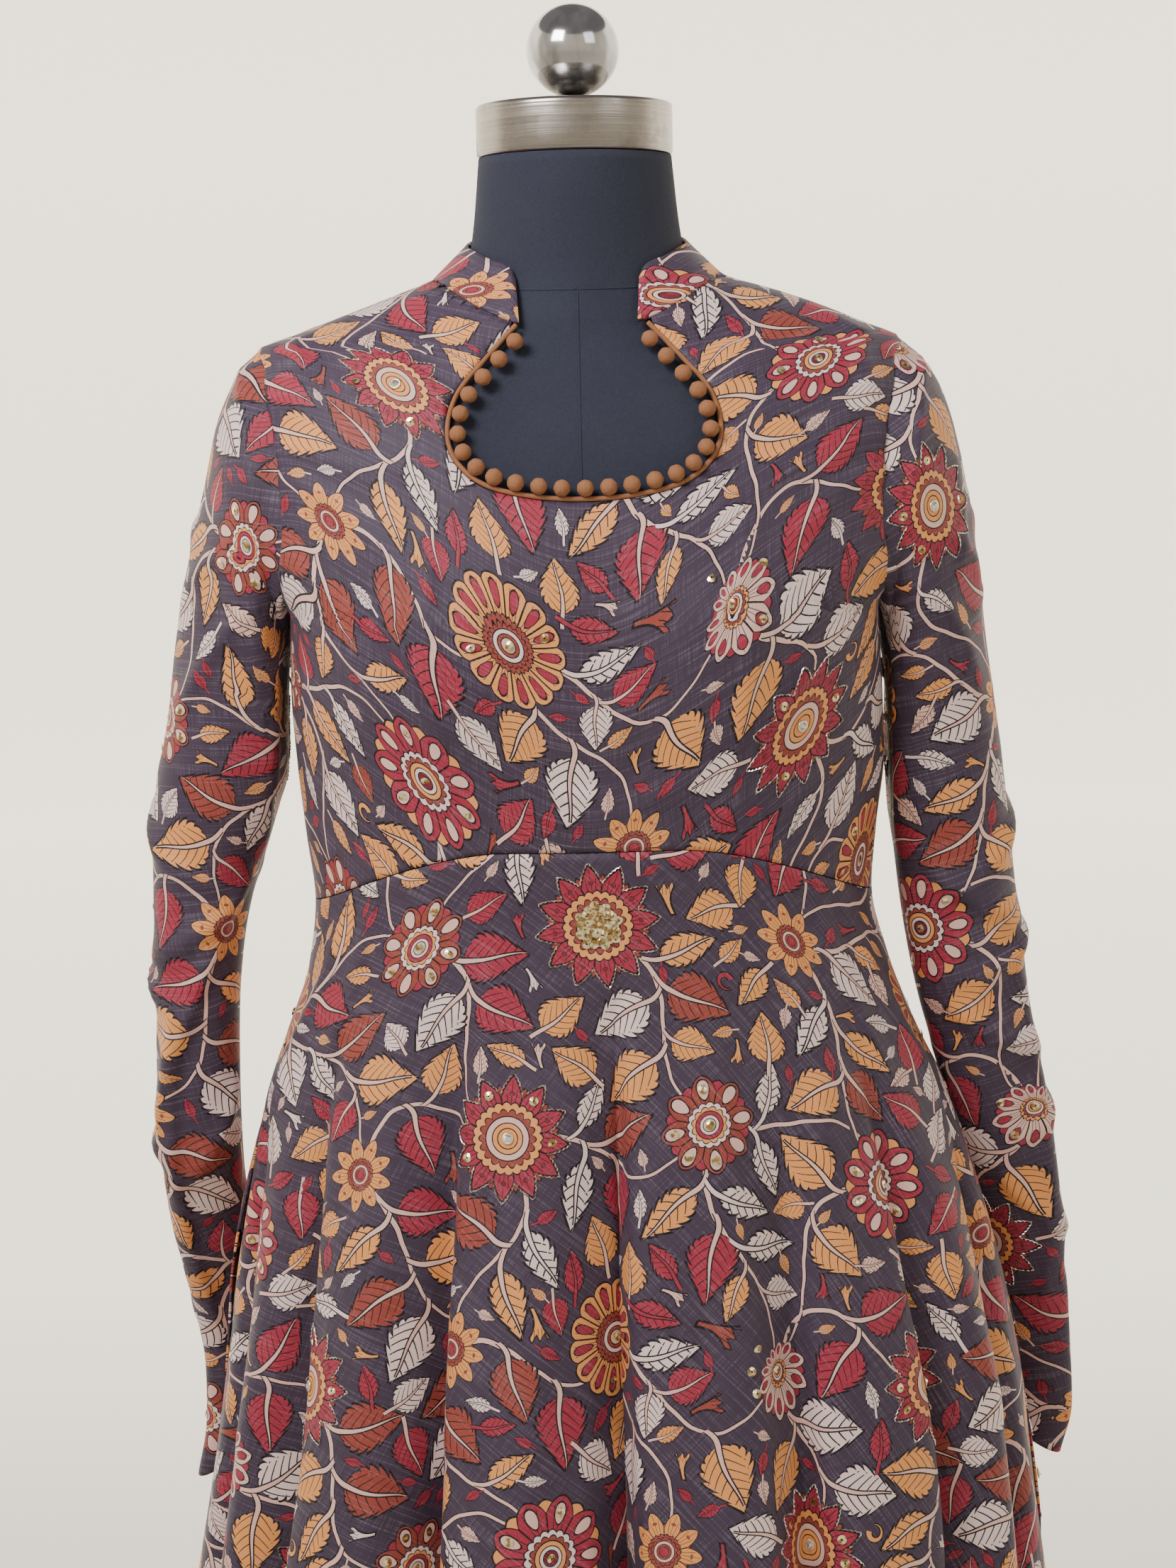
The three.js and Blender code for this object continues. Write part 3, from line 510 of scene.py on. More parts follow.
def draw_flower(under):
    """A flower seen from above: petals before and behind, and rings round its eye."""
    tree = under.tree
    kinds = FLOWER_KINDS
    x, y, kind = attribute(tree, "flower").parts()
    petals, cut, bow = kind.pick([(r["petals"] / 20, r["cut"], r["bow"] / 4) for r in kinds]).parts()
    back, ring, drop = kind.pick([(r["back"], r["ring"], r["drop"]) for r in kinds]).parts()
    lean, slim, _ = kind.pick([(r["lean"], r["slim"], 0) for r in kinds]).parts()
    far = (x * x + y * y).math("SQRT")
    turn = y.math("ARCTAN2", x) / (2 * math.pi) + 0.5
    far = far / (1 - lean * (0.5 - 0.5 * x / (far + 0.001)))
    petals = petals * 20
    between = abs((turn * petals).math("FRACT") - 0.5) * 2
    uneven = 1 - 0.07 * wave(turn * petals * 0.382).math("FLOOR")
    edge = uneven - cut * between ** (bow * 4)
    behind = back * (1 - cut * (1 - between) ** (bow * 4))
    ink = tone(tree, INK)

    step = far / petals * math.pi
    line = (far > edge - 0.034).math("MAXIMUM", (1 - between) * step < 0.014)
    rays = (abs(between - 0.42) * step < 0.008) * (far < edge - 0.10)
    vein = (between * step < 0.007).math("MAXIMUM", rays) * (far < edge - 0.07)
    inset = ((far - 0.70) / (drop + 0.01)) ** 2 + (between / slim) ** 2
    front = ink.over(kind.pick([r["petal"] for r in kinds]), vein * 0.75)
    front = kind.pick([r["inset"] for r in kinds]).over(ink.over(front, inset < 1.45), inset < 1)
    front = ink.over(front, line)
    rear = ink.over(kind.pick([r["behind"] for r in kinds]), far > behind - 0.034)
    colour = front.over(rear, far < edge)
    shape = far < edge.math("MAXIMUM", behind)

    scallop, lobes = wave(turn * petals * 2), wave(turn * petals * 1.5)
    frill = ring - 0.05 * (1 - scallop) * (1 - scallop)
    inner = ring * (0.80 - 0.13 * (1 - lobes) * (1 - lobes))
    for part, radius, pen in (("scallop", frill, 0.024), ("inner", inner, 0.022),
                              ("core", ring * 0.60, 0.02), ("scallop", ring * 0.42, 0.018),
                              ("eye", ring * 0.27, 0.018)):
        colour = ink.over(colour, far < radius + pen)
        colour = kind.pick([r[part] for r in kinds]).over(colour, far < radius)
    return colour.over(under, shape)


cotton = bpy.data.materials.new("printed_cotton")
cotton.use_nodes = True
tree = cotton.node_tree
surface = tree.nodes["Principled BSDF"]
surface.inputs["Sheen Weight"].default_value = 0.10
surface.inputs["Sheen Roughness"].default_value = 0.35
surface.inputs["Specular IOR Level"].default_value = 0.32
along, across, _ = attribute(tree, "slub").parts()
thread = along.node("ShaderNodeCombineXYZ", {0: along * 0.02, 1: across * 0.9})
slub = thread.noise(1.0, 2.0)
cross = along.node("ShaderNodeCombineXYZ", {0: along * 1.3, 1: across * 0.05})
warp = cross.noise(1.0, 1.0)
colour = draw_vine(tone(tree, GROUND))
colour = draw_curl(draw_bell(colour))
for k in range(LEAF_SLOTS):
    colour = draw_leaf(colour, f"leaf{k + 1}")
colour = draw_flower(colour)
weave = slub * 0.65 + warp * 0.35
lighter, darker = tone(tree, (0.60, 0.52, 0.66)), tone(tree, (0.05, 0.030, 0.048))
colour = lighter.over(colour, (weave - 0.51) * 0.9)
colour = darker.over(colour, (0.44 - weave) * 0.8)
colour.into(surface, "Base Color")
(0.50 + weave * 0.24).into(surface, "Roughness")
weave.raise_grain(surface, 0.35, 0.0006)


# ---------------------------------------------------------------- bodice
# The bodice is two shaped pieces of printed slub cotton, joined at the shoulders and the sides.
# The front is cut out in a deep keyhole neckline and darted up from the waist seam.
# Tables are in millimetres, as in the CAD source: a turn is an angle round the body in degrees,
# 0 at the centre front and 90 at the wearer's left (+X).

SECTION_NAMES = ("z", "right", "left", "front", "back", "round")
SECTIONS = np.array([
    (120, 303, 329, 254, 266, 2), (300, 284, 306, 232, 243, 2), (450, 266, 284, 212, 222, 2),
    (620, 242, 262, 186, 194, 2), (740, 225, 252, 164, 168, 2), (810, 215, 239.5, 150, 150, 2),
    (870, 205.5, 225, 137, 133, 2.05), (920, 196, 209, 127, 121, 2.1),
    (960, 182, 191, 119, 112, 2.15), (1000, 168, 176, 113, 104, 2.25),
    (1040, 163, 167, 111, 100, 2.3), (1077, 167, 170, 114, 98, 2.3),
    (1120, 171, 175, 119, 99, 2.35), (1160, 173, 174, 123, 101, 2.5),
    (1206, 172, 172, 123, 105, 2.8), (1226, 186, 186, 122, 107, 2.5),
    (1250, 199, 199, 119, 108, 2.3), (1290, 206, 206, 108, 107, 2.2),
    (1330, 203, 203, 95, 101, 2.1), (1350, 195, 195, 86, 94, 1.9),
    (1362, 187, 187, 79, 86, 1.7), (1370, 164, 168, 76, 81, 1.6),
    (1380, 137, 144, 73, 76, 1.5), (1390, 110, 116, 70, 71, 1.5),
    (1400, 84, 84, 67, 66, 1.6), (1412, 70, 70, 65, 63, 1.8),
], float)
ARMHOLE = np.array([
    (1206, 90), (1209, 80), (1214, 72), (1226, 62), (1245, 55.5), (1275, 53.5), (1297, 54.5),
    (1328, 60), (1343, 66), (1350, 70), (1357, 78), (1362, 90),
], float)
BUST_ACROSS, BUST_LEVEL, BUST_WIDE, BUST_HIGH, BUST_OUT = 80, 1190, 48, 52, 9
WAIST, WAIST_DROP = 1077, 37
WAIST_FLAT, WAIST_CURVE = 0.3, 1.6
UNDERARM, SHOULDER_POINT, NECK_BASE = 1206, 1362, 1399.6
SEAM, SEAM_TURN = 0.3, 0.1     # the line between neighbouring pieces, and the same as a turn
CLOTH = 1.5
BODICE_GRID = (109, 151)       # rows and columns
MM = 0.001


def smooth(stops, values, at):
    """A curve through values at rising stops that never overshoots, straight past both ends."""
    at = np.asarray(at, float)
    slope = np.diff(values) / np.diff(stops)
    product = slope[:-1] * slope[1:]
    total = np.where(product > 0, slope[:-1] + slope[1:], 1)
    inner = np.where(product > 0, 2 * product / total, 0)
    tangent = np.concatenate([slope[:1], inner, slope[-1:]])
    k = np.clip(np.searchsorted(stops, at, side="right") - 1, 0, len(stops) - 2)
    gap = stops[k + 1] - stops[k]
    f = np.clip((at - stops[k]) / gap, 0, 1)
    rise = (3 - 2 * f) * f * f
    bend = gap * f * (1 - f) * ((1 - f) * tangent[k] - f * tangent[k + 1])
    curve = values[k] * (1 - rise) + values[k + 1] * rise + bend
    curve = np.where(at < stops[0], values[0] + slope[0] * (at - stops[0]), curve)
    return np.where(at > stops[-1], values[-1] + slope[-1] * (at - stops[-1]), curve)


def section(name, z):
    """A size of the body at a level."""
    return smooth(SECTIONS[:, 0], SECTIONS[:, SECTION_NAMES.index(name)], z)


def outline(turn, roundness):
    """A place round an oval of half width and half depth 1; above 2 its roundness squares it."""
    across, ahead = np.sin(np.radians(turn)), np.cos(np.radians(turn))
    size = (np.abs(across) ** roundness + np.abs(ahead) ** roundness) ** (1 / roundness)
    return across / size, ahead / size


def bust_at(x, z):
    """How far the front is shaped out over the bust."""
    across, up = (np.abs(x) - BUST_ACROSS) / BUST_WIDE, (z - BUST_LEVEL) / BUST_HIGH
    return BUST_OUT * np.exp(-across ** 2 - up ** 2)


def body_point(turn, z, out=0.0):
    """A place on the made-up kurta's body, moved out from it by some mm."""
    turn, z, out = np.broadcast_arrays(np.asarray(turn, float), np.asarray(z, float), out)
    across, ahead = outline(turn, section("round", z))
    half = np.where(across > 0, section("left", z), section("right", z))
    depth = np.where(ahead > 0, section("front", z), section("back", z))
    away_x, away_y = across / half, -ahead / depth
    size = np.hypot(away_x, away_y)
    x = across * half + out * away_x / size
    y = -ahead * depth + out * away_y / size
    y = y - np.where(ahead > 0, bust_at(x, z), 0)
    return np.stack([x, y, z], axis=-1)


def front_at(x, z):
    """y of the bodice front at a place seen from the front."""
    half = np.where(np.asarray(x) > 0, section("left", z), section("right", z))
    share = np.minimum(np.abs(x) / half, 1)
    roundness = section("round", z)
    return -section("front", z) * (1 - share ** roundness) ** (1 / roundness) - bust_at(x, z)


def waist_at(turn):
    """Level of the waist seam, which curves down at the sides."""
    across, _ = outline(turn, section("round", WAIST))
    beyond = np.maximum(0, (np.abs(across) - WAIST_FLAT) / (1 - WAIST_FLAT))
    return WAIST - WAIST_DROP * beyond ** WAIST_CURVE


def armhole_at(z):
    """Turn of the bodice's edge at a level: the side seam, or the armhole above it."""
    inside = (z > UNDERARM) & (z < SHOULDER_POINT)
    return np.where(inside, smooth(ARMHOLE[:, 0], ARMHOLE[:, 1], z), 90)


def grid_mesh(name, points, flat):
    """Cloth through a grid of points [row, column], each with its place in the flat cut, in mm."""
    rows, columns = points.shape[:2]
    bm = bmesh.new()
    bmesh.ops.create_grid(bm, x_segments=columns - 1, y_segments=rows - 1, size=1)
    mesh = bpy.data.meshes.new(name)
    bm.to_mesh(mesh)
    bm.free()
    mesh.vertices.foreach_set("co", (points * MM).reshape(-1))
    middle = points[rows // 2, columns // 2] - points.mean(axis=(0, 1))
    if mesh.polygons[(rows // 2) * (columns - 1) + columns // 2].normal.dot(Vector(middle)) < 0:
        mesh.flip_normals()
    at = np.empty(len(mesh.loops), int)
    mesh.loops.foreach_get("vertex_index", at)
    places = np.zeros((len(at), 3))
    places[:, :2] = flat.reshape(-1, 2)[at]
    mesh.attributes.new("flat", "FLOAT_VECTOR", "CORNER").data.foreach_set("vector", places.reshape(-1))
    mesh.shade_smooth()
    return mesh


def lengths(points, axis):
    """Length of the cloth along each row (axis 1) or column (axis 0) of a grid, from its start."""
    step = np.linalg.norm(np.diff(points, axis=axis), axis=-1)
    start = np.zeros_like(np.take(step, [0], axis=axis))
    return np.concatenate([start, np.cumsum(step, axis=axis)], axis=axis)


def flat_cut(points):
    """Places in the flat cut, as a first guess: x from the middle column, y down from the top row."""
    across, down = lengths(points, 1), lengths(points, 0)
    centre = points.shape[1] // 2
    return np.stack([across - across[:, centre:centre + 1], down], axis=-1)


def normals(points):
    """The outward direction at each place of a grid that is wrapped round something."""
    normal = np.cross(np.gradient(points, axis=1), np.gradient(points, axis=0))
    outwards = np.sign((normal * (points - points.mean(axis=(0, 1)))).sum())
    return normal * outwards / np.maximum(np.linalg.norm(normal, axis=-1, keepdims=True), 1e-9)


def settle(flat, points, rounds):
    """Lets the flat cut relax until it stretches the cloth as little as it can."""
    flat = flat.copy()
    whole, first, last = slice(None), slice(None, -1), slice(1, None)
    pairs = [((whole, first), (whole, last)), ((first, whole), (last, whole)),
             ((first, first), (last, last)), ((first, last), (last, first))]
    true = [np.linalg.norm(points[b] - points[a], axis=-1) for a, b in pairs]
    for _ in range(rounds):
        pull = np.zeros_like(flat)
        for (a, b), length in zip(pairs, true):
            step = flat[b] - flat[a]
            size = np.maximum(np.linalg.norm(step, axis=-1), 1e-6)
            half = step * ((size - length) / size * 0.5)[..., None]
            pull[a] += half
            pull[b] -= half
        flat += pull / 4
    return flat


def creased(points, flat, rows):
    """Raises creases in the cloth. Each runs between two places in the flat cut: from x, y to x, y,
    bowed aside by bow. It is high in its middle and dies out at both ends, and falls away over
    near mm to one side and over far mm to the other."""
    rise = np.zeros(points.shape[:2])
    for x0, y0, x1, y1, bow, high, near, far in rows:
        start, run = np.array([x0, y0]), np.array([x1 - x0, y1 - y0], float)
        length = np.linalg.norm(run)
        run /= length
        away = flat - start
        share = np.clip(away @ run / length, 0, 1)
        aside = away @ np.array([-run[1], run[0]]) - bow * 4 * share * (1 - share)
        past = away @ run - share * length
        wide = np.where(aside > 0, far, near) * (0.7 + 0.3 * share)
        fade = np.sin(np.pi * (0.06 + 0.88 * share)) ** 0.7
        rise += high * fade * np.exp(-(aside / wide) ** 2 - (past / np.minimum(near, far)) ** 2)
    return points + normals(points) * rise[..., None]


def small_creases(seed, count, box, high, heading=math.pi / 2, spread=0.5):
    """Slight uneven creases, for a box of the flat cut: x, y to x, y."""
    dice = np.random.default_rng(seed)
    rows = []
    for _ in range(count):
        x, y = dice.uniform(box[0], box[2]), dice.uniform(box[1], box[3])
        turn, length = heading + dice.normal(0, spread), dice.uniform(25, 80)
        near, far = dice.uniform(4, 12, 2)
        rows.append((x, y, x + length * math.cos(turn), y + length * math.sin(turn),
                     dice.uniform(-8, 8), high * dice.uniform(-1, 1), near, far))
    return rows


def show(name, mesh, material):
    """Puts a piece in the scene, on the part's one body."""
    piece = bpy.data.objects.new(name, mesh)
    bpy.context.scene.collection.objects.link(piece)
    piece.data.materials.append(material)
    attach(piece, "root")
    return piece


def plain(name, colour, roughness, metallic=0.0):
    material = bpy.data.materials.new(name)
    material.use_nodes = True
    surface = material.node_tree.nodes["Principled BSDF"]
    surface.inputs["Base Color"].default_value = (*colour, 1)
    surface.inputs["Roughness"].default_value = roughness
    surface.inputs["Metallic"].default_value = metallic
    return material


def surface_of(material):
    """A material's tree and surface, and the place of each point on the object."""
    tree = material.node_tree
    place = Sum(tree, tree.nodes.new("ShaderNodeTexCoord").outputs["Object"])
    return tree, tree.nodes["Principled BSDF"], place


def thicken(piece, thick):
    """Gives cloth its wall, which grows inwards."""
    wall = piece.modifiers.new("wall", "SOLIDIFY")
    wall.thickness = thick * MM
    wall.offset = -1


def bodice_half(middle):
    """Rows and columns of places, from the neck down to the waist, round the front or the back."""
    side = np.linspace(-1, 1, BODICE_GRID[1])[None, :]
    down = np.linspace(0, 1, BODICE_GRID[0])[:, None]
    turn = middle + side * 90
    z = NECK_BASE + (waist_at(turn) - NECK_BASE) * down
    turn = middle + side * (armhole_at(z) - SEAM_TURN)
    z = NECK_BASE + (waist_at(turn) - NECK_BASE) * down
    return body_point(turn, z)


NECK_CENTRE = 2
NECKLINE = np.array([          # centre line of the piping on the wearer's left half: across, z
    (0, 1273.4), (30, 1275.6), (56, 1282.5), (71.5, 1296), (76, 1313), (70, 1333), (54, 1352),
    (37, 1370.5),
], float)
PIPING = 1.4
COLLAR_END, COLLAR_SIDE = (35.5, 1372), (84, 1400)
COLLAR_RISE = 1.25


def spline(points, per_span):
    """A curve through points, the same one as the CAD source's."""
    ends = np.vstack([points[:1], points, points[-1:]])
    f = np.linspace(0, 1, per_span, endpoint=False)[:, None]
    curve = []
    for a, b, c, d in zip(ends[:-3], ends[1:-2], ends[2:-1], ends[3:]):
        v0, v1 = (c - a) / 2, (d - b) / 2
        curve.append((2 * b - 2 * c + v0 + v1) * f ** 3 + (-3 * b + 3 * c - 2 * v0 - v1) * f ** 2
                     + v0 * f + b)
    return np.vstack(curve + [points[-1:]])


def evened(curve, count):
    """The same curve through so many points, evenly apart."""
    run = run_along(curve)
    at = np.linspace(0, run[-1], count)
    return np.stack([np.interp(at, run, curve[:, k]) for k in range(curve.shape[1])], axis=1)


mirrored = NECKLINE[:0:-1] * (-1, 1)
neckline = evened(spline(np.vstack([mirrored, NECKLINE]) + (NECK_CENTRE, 0), 24), 241)
neck_heading = unit(np.gradient(neckline, axis=0))
neck_outward = np.stack([neck_heading[:, 1], -neck_heading[:, 0]], axis=1)


def collar_seam_at(x):
    """Level of the seam between bodice and collar."""
    share = (np.abs(x) - COLLAR_END[0]) / (COLLAR_SIDE[0] - COLLAR_END[0])
    return COLLAR_END[1] + (COLLAR_SIDE[1] - COLLAR_END[1]) * np.sign(share) * np.abs(share) ** COLLAR_RISE


def inside_outline(edge, x, z):
    """Whether a place, seen from the front, lies inside a closed outline."""
    follow = np.roll(edge, -1, axis=0)
    crosses = (edge[:, 1] > z) != (follow[:, 1] > z)
    rise = np.where(crosses, follow[:, 1] - edge[:, 1], 1)
    meets = edge[:, 0] + (z - edge[:, 1]) * (follow[:, 0] - edge[:, 0]) / rise
    return (crosses & (x < meets)).sum() % 2 == 1


def cut_opening(mesh, edge):
    """Cuts what lies inside a closed outline, seen from the front, out of a sheet of cloth. The
    corners next to the outline are moved onto it first, so that the cut edge is smooth."""
    bm = bmesh.new()
    bm.from_mesh(mesh)
    flat = bm.loops.layers.float_vector["flat"]
    follow = np.roll(edge, -1, axis=0)

    def nearest(v):
        at = np.array([v.co.x, v.co.z]) / MM
        along = follow - edge
        share = np.clip(((at - edge) * along).sum(axis=1) / (along ** 2).sum(axis=1), 0, 1)
        foot = edge + along * share[:, None]
        gap = np.linalg.norm(at - foot, axis=1)
        return foot[gap.argmin()], gap.min(), inside_outline(edge, *at)

    close = {v: nearest(v) for v in bm.verts}
    on_edge = set()
    for e in bm.edges:
        a, b = e.verts
        if close[a][2] != close[b][2] and a not in on_edge and b not in on_edge:
            on_edge.add(a if close[a][1] < close[b][1] else b)
    for v in on_edge:
        foot = close[v][0]
        moved = foot * MM - np.array([v.co.x, v.co.z])
        v.co = (foot[0] * MM, front_at(foot[0], foot[1]) * MM, foot[1] * MM)
        for loop in v.link_loops:
            loop[flat] = (loop[flat].x + moved[0] / MM, loop[flat].y - moved[1] / MM, 0)
    for f in list(bm.faces):
        sides = {close[v][2] for v in f.verts if v not in on_edge}
        marked = [v for v in f.verts if v in on_edge]
        if len(f.verts) == 4 and len(marked) >= 2 and len(sides) > 1:
            opposite = [v for v in marked
                        if not any(e.other_vert(v) in marked for e in f.edges if v in e.verts)]
            if len(opposite) >= 2:
                bmesh.utils.face_split(f, opposite[0], opposite[1])
    gone = []
    for f in bm.faces:
        sides = [close[v][2] for v in f.verts if v not in on_edge]
        if sides and all(sides):
            gone.append(f)
        elif not sides:
            centre = f.calc_center_median()
            probe = bm.verts.new(centre)
            if nearest(probe)[2]:
                gone.append(f)
            bm.verts.remove(probe)
    bmesh.ops.delete(bm, geom=gone, context="FACES")
    bm.to_mesh(mesh)
    bm.free()


seam_x = np.linspace(COLLAR_END[0] + 1, COLLAR_SIDE[0] + 4, 14)
cut = neckline + neck_outward * (PIPING + SEAM)
seam_right = np.stack([-seam_x, collar_seam_at(seam_x) - SEAM], axis=1)
seam_left = np.stack([seam_x, collar_seam_at(seam_x) - SEAM], axis=1)
above = np.array([(COLLAR_SIDE[0] + 4, NECK_BASE + 20), (-COLLAR_SIDE[0] - 4, NECK_BASE + 20)])
opening = np.vstack([cut, seam_left, above, seam_right[::-1]])

cloths = {}                    # name: points, places in the flat cut, and how the print is shifted
BODICE_CREASES = {             # as in creased(): x, y to x, y, bow, high, near, far
    "bodice_front": [
        (-86, 205, -78, 336, 4, 2.6, 4, 16), (88, 205, 80, 336, -4, 2.6, 16, 4),
        (-192, 190, -96, 168, 10, 3.0, 9, 14), (-188, 214, -110, 232, -8, 2.4, 8, 12),
        (190, 188, 92, 176, -9, 3.0, 14, 8), (192, 212, 112, 236, 8, 2.2, 10, 8),
        (-178, 262, -118, 292, -6, 2.4, 6, 9), (-176, 288, -96, 318, -6, 2.6, 6, 10),
        (180, 258, 116, 290, 6, 2.4, 9, 6), (178, 286, 104, 316, 7, 2.4, 10, 6),
        (-60, 128, -120, 96, 5, 2.2, 9, 12), (62, 128, 118, 92, -5, 2.0, 12, 9),
        (-150, 60, -168, 170, 4, 2.4, 8, 10), (152, 62, 170, 172, -4, 2.4, 10, 8),
        (-40, 300, 36, 306, 3, 1.6, 7, 9), (-30, 322, 66, 318, -3, 1.8, 6, 9),
    ],
    "bodice_back": [
        (-92, 180, -84, 330, 4, 2.6, 4, 16), (92, 180, 84, 330, -4, 2.6, 16, 4),
        (-186, 190, -100, 214, 8, 3.0, 9, 14), (188, 192, 104, 220, -8, 3.0, 14, 9),
        (-170, 262, -60, 300, -8, 3.2, 7, 11), (168, 268, 50, 306, 8, 3.2, 11, 7),
        (-120, 300, 20, 322, -6, 3.0, 7, 10), (130, 304, -10, 328, 5, 2.6, 10, 7),
        (-150, 70, -168, 170, 4, 2.4, 8, 10), (150, 66, 168, 172, -4, 2.4, 10, 8),
        (-70, 60, -20, 150, 6, 1.8, 10, 14), (74, 58, 30, 140, -6, 1.8, 14, 10),
    ],
}
for name, middle in (("bodice_front", 0), ("bodice_back", 180)):
    points = bodice_half(middle)
    flat = settle(flat_cut(points), points, rounds=200)
    slight = small_creases(middle + 1, 46, (-190, 40, 190, 320), high=0.9, heading=0.2, spread=0.9)
    points = creased(points, flat, BODICE_CREASES[name] + slight)
    mesh = grid_mesh(name, points, flat)
    if name == "bodice_front":
        cut_opening(mesh, opening)
    shift = (40, middle)
    print_cloth(mesh, shift, 0.0)
    cloths[name] = points, flat, shift
    piece = show(name + "_cloth", mesh, cotton)
    thicken(piece, CLOTH)
    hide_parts(name)


# ---------------------------------------------------------------- skirt
# The skirt is a wide umbrella cut that hangs from the waist seam in long uneven folds.

HEM = 135
SKIRT_GRID = (171, 261)
FOLD_GROWTH = 0.66             # a fold stands out by this power of how far down it is
# turn, half width as a turn, how far out at the hem, level where it starts, how much wider its left
# side is than its right as a share, and how far the cloth beside it folds over it, in mm
FOLDS = np.array([
    (4, 3.6, -80, 1000, .50, 11), (16, 8, 24, 960, -.2, 0), (29, 4.0, -52, 940, .30, 6),
    (39, 6.5, 17, 860, .1, 0), (50, 4.0, -56, 960, -.35, -6), (63, 7, 20, 900, .1, 0),
    (76, 4.2, -46, 940, .3, 5), (92, 7, 10, 900, 0, 0), (110, 7, -48, 1000, -.3, -4),
    (126, 6.5, 24, 930, .15, 0), (139, 4.0, -60, 960, .35, 6), (153, 7, 24, 900, -.1, 0),
    (167, 4.2, -46, 940, .35, 5), (180, 7, 24, 930, .1, 0), (194, 4.2, -52, 970, -.35, -7),
    (207, 7, 22, 900, .1, 0), (219, 4.2, -42, 930, .3, 4), (231, 6, 20, 900, -.1, 0),
    (246, 8, -54, 1000, .3, 4), (266, 7, 10, 900, 0, 0), (282, 4.2, -48, 940, -.35, -5),
    (295, 6.5, 18, 900, .15, 0), (307, 4.2, -58, 970, .35, 6), (321, 7, 20, 920, -.15, 0),
    (336, 3.7, -70, 985, .42, 9), (349, 8, 24, 960, .1, 0),
])
FOLD_SWAY = 1.6                # folds wander by so many degrees on their way down


def folds_at(turn, z):
    """How far out the folds carry the skirt, and how far along round it, in mm."""
    out = np.zeros(np.broadcast(turn, z).shape)
    along = np.zeros_like(out)
    for k, (at, wide, depth, start, lean, over) in enumerate(FOLDS):
        fall = np.clip((start - z) / (start - HEM), 0, None)
        sway = FOLD_SWAY * np.sin(2.2 * fall + 1.7 * k) * fall
        away = (turn - at - sway + 540) % 360 - 180
        width = wide * np.where(away < 0, 1 + lean, 1 - lean) * (1.15 - 0.25 * fall)
        out += depth * fall ** FOLD_GROWTH * np.exp(-np.abs(away / width) ** 1.8)
        beside = (away - np.sign(over) * wide * 0.9) / (wide * 0.8)
        along -= over * np.clip(fall * 5, 0, 1) * np.exp(-beside ** 2)
    return out, along


def skirt_half(middle):
    turn = middle + np.linspace(-1, 1, SKIRT_GRID[1])[None, :] * (90 - SEAM_TURN)
    start = waist_at(turn) - 2 * SEAM
    z = start + (HEM - start) * np.linspace(0, 1, SKIRT_GRID[0])[:, None]
    out, along = folds_at(turn, z)
    edge = np.clip((90 - SEAM_TURN - np.abs(turn - middle)) / 6, 0, 1)
    return body_point(turn + np.degrees(along * edge / section("left", z)), z, out)


SKIRT_INNER = 607              # radius of the umbrella cut at the waist
star = next(f for f in flowers if f[0] == 0)
STAR_ACROSS, STAR_DROP = 4, 41  # a star flower stands just below the middle of the waist seam
SKIRT_SHIFT = {
    "skirt_front": (star[1] - STAR_ACROSS, star[2] - SKIRT_INNER - STAR_DROP),
    "skirt_back": (170, 240),
}


def umbrella_cut(points):
    """Places in the flat cut, which is a part of a ring: its waist is an arc of SKIRT_INNER."""
    flat = flat_cut(points)
    down = SKIRT_INNER + flat[..., 1].mean(axis=1, keepdims=True)
    swing = flat[..., 0] / down
    return np.stack([down * np.sin(swing), down * np.cos(swing)], axis=-1)


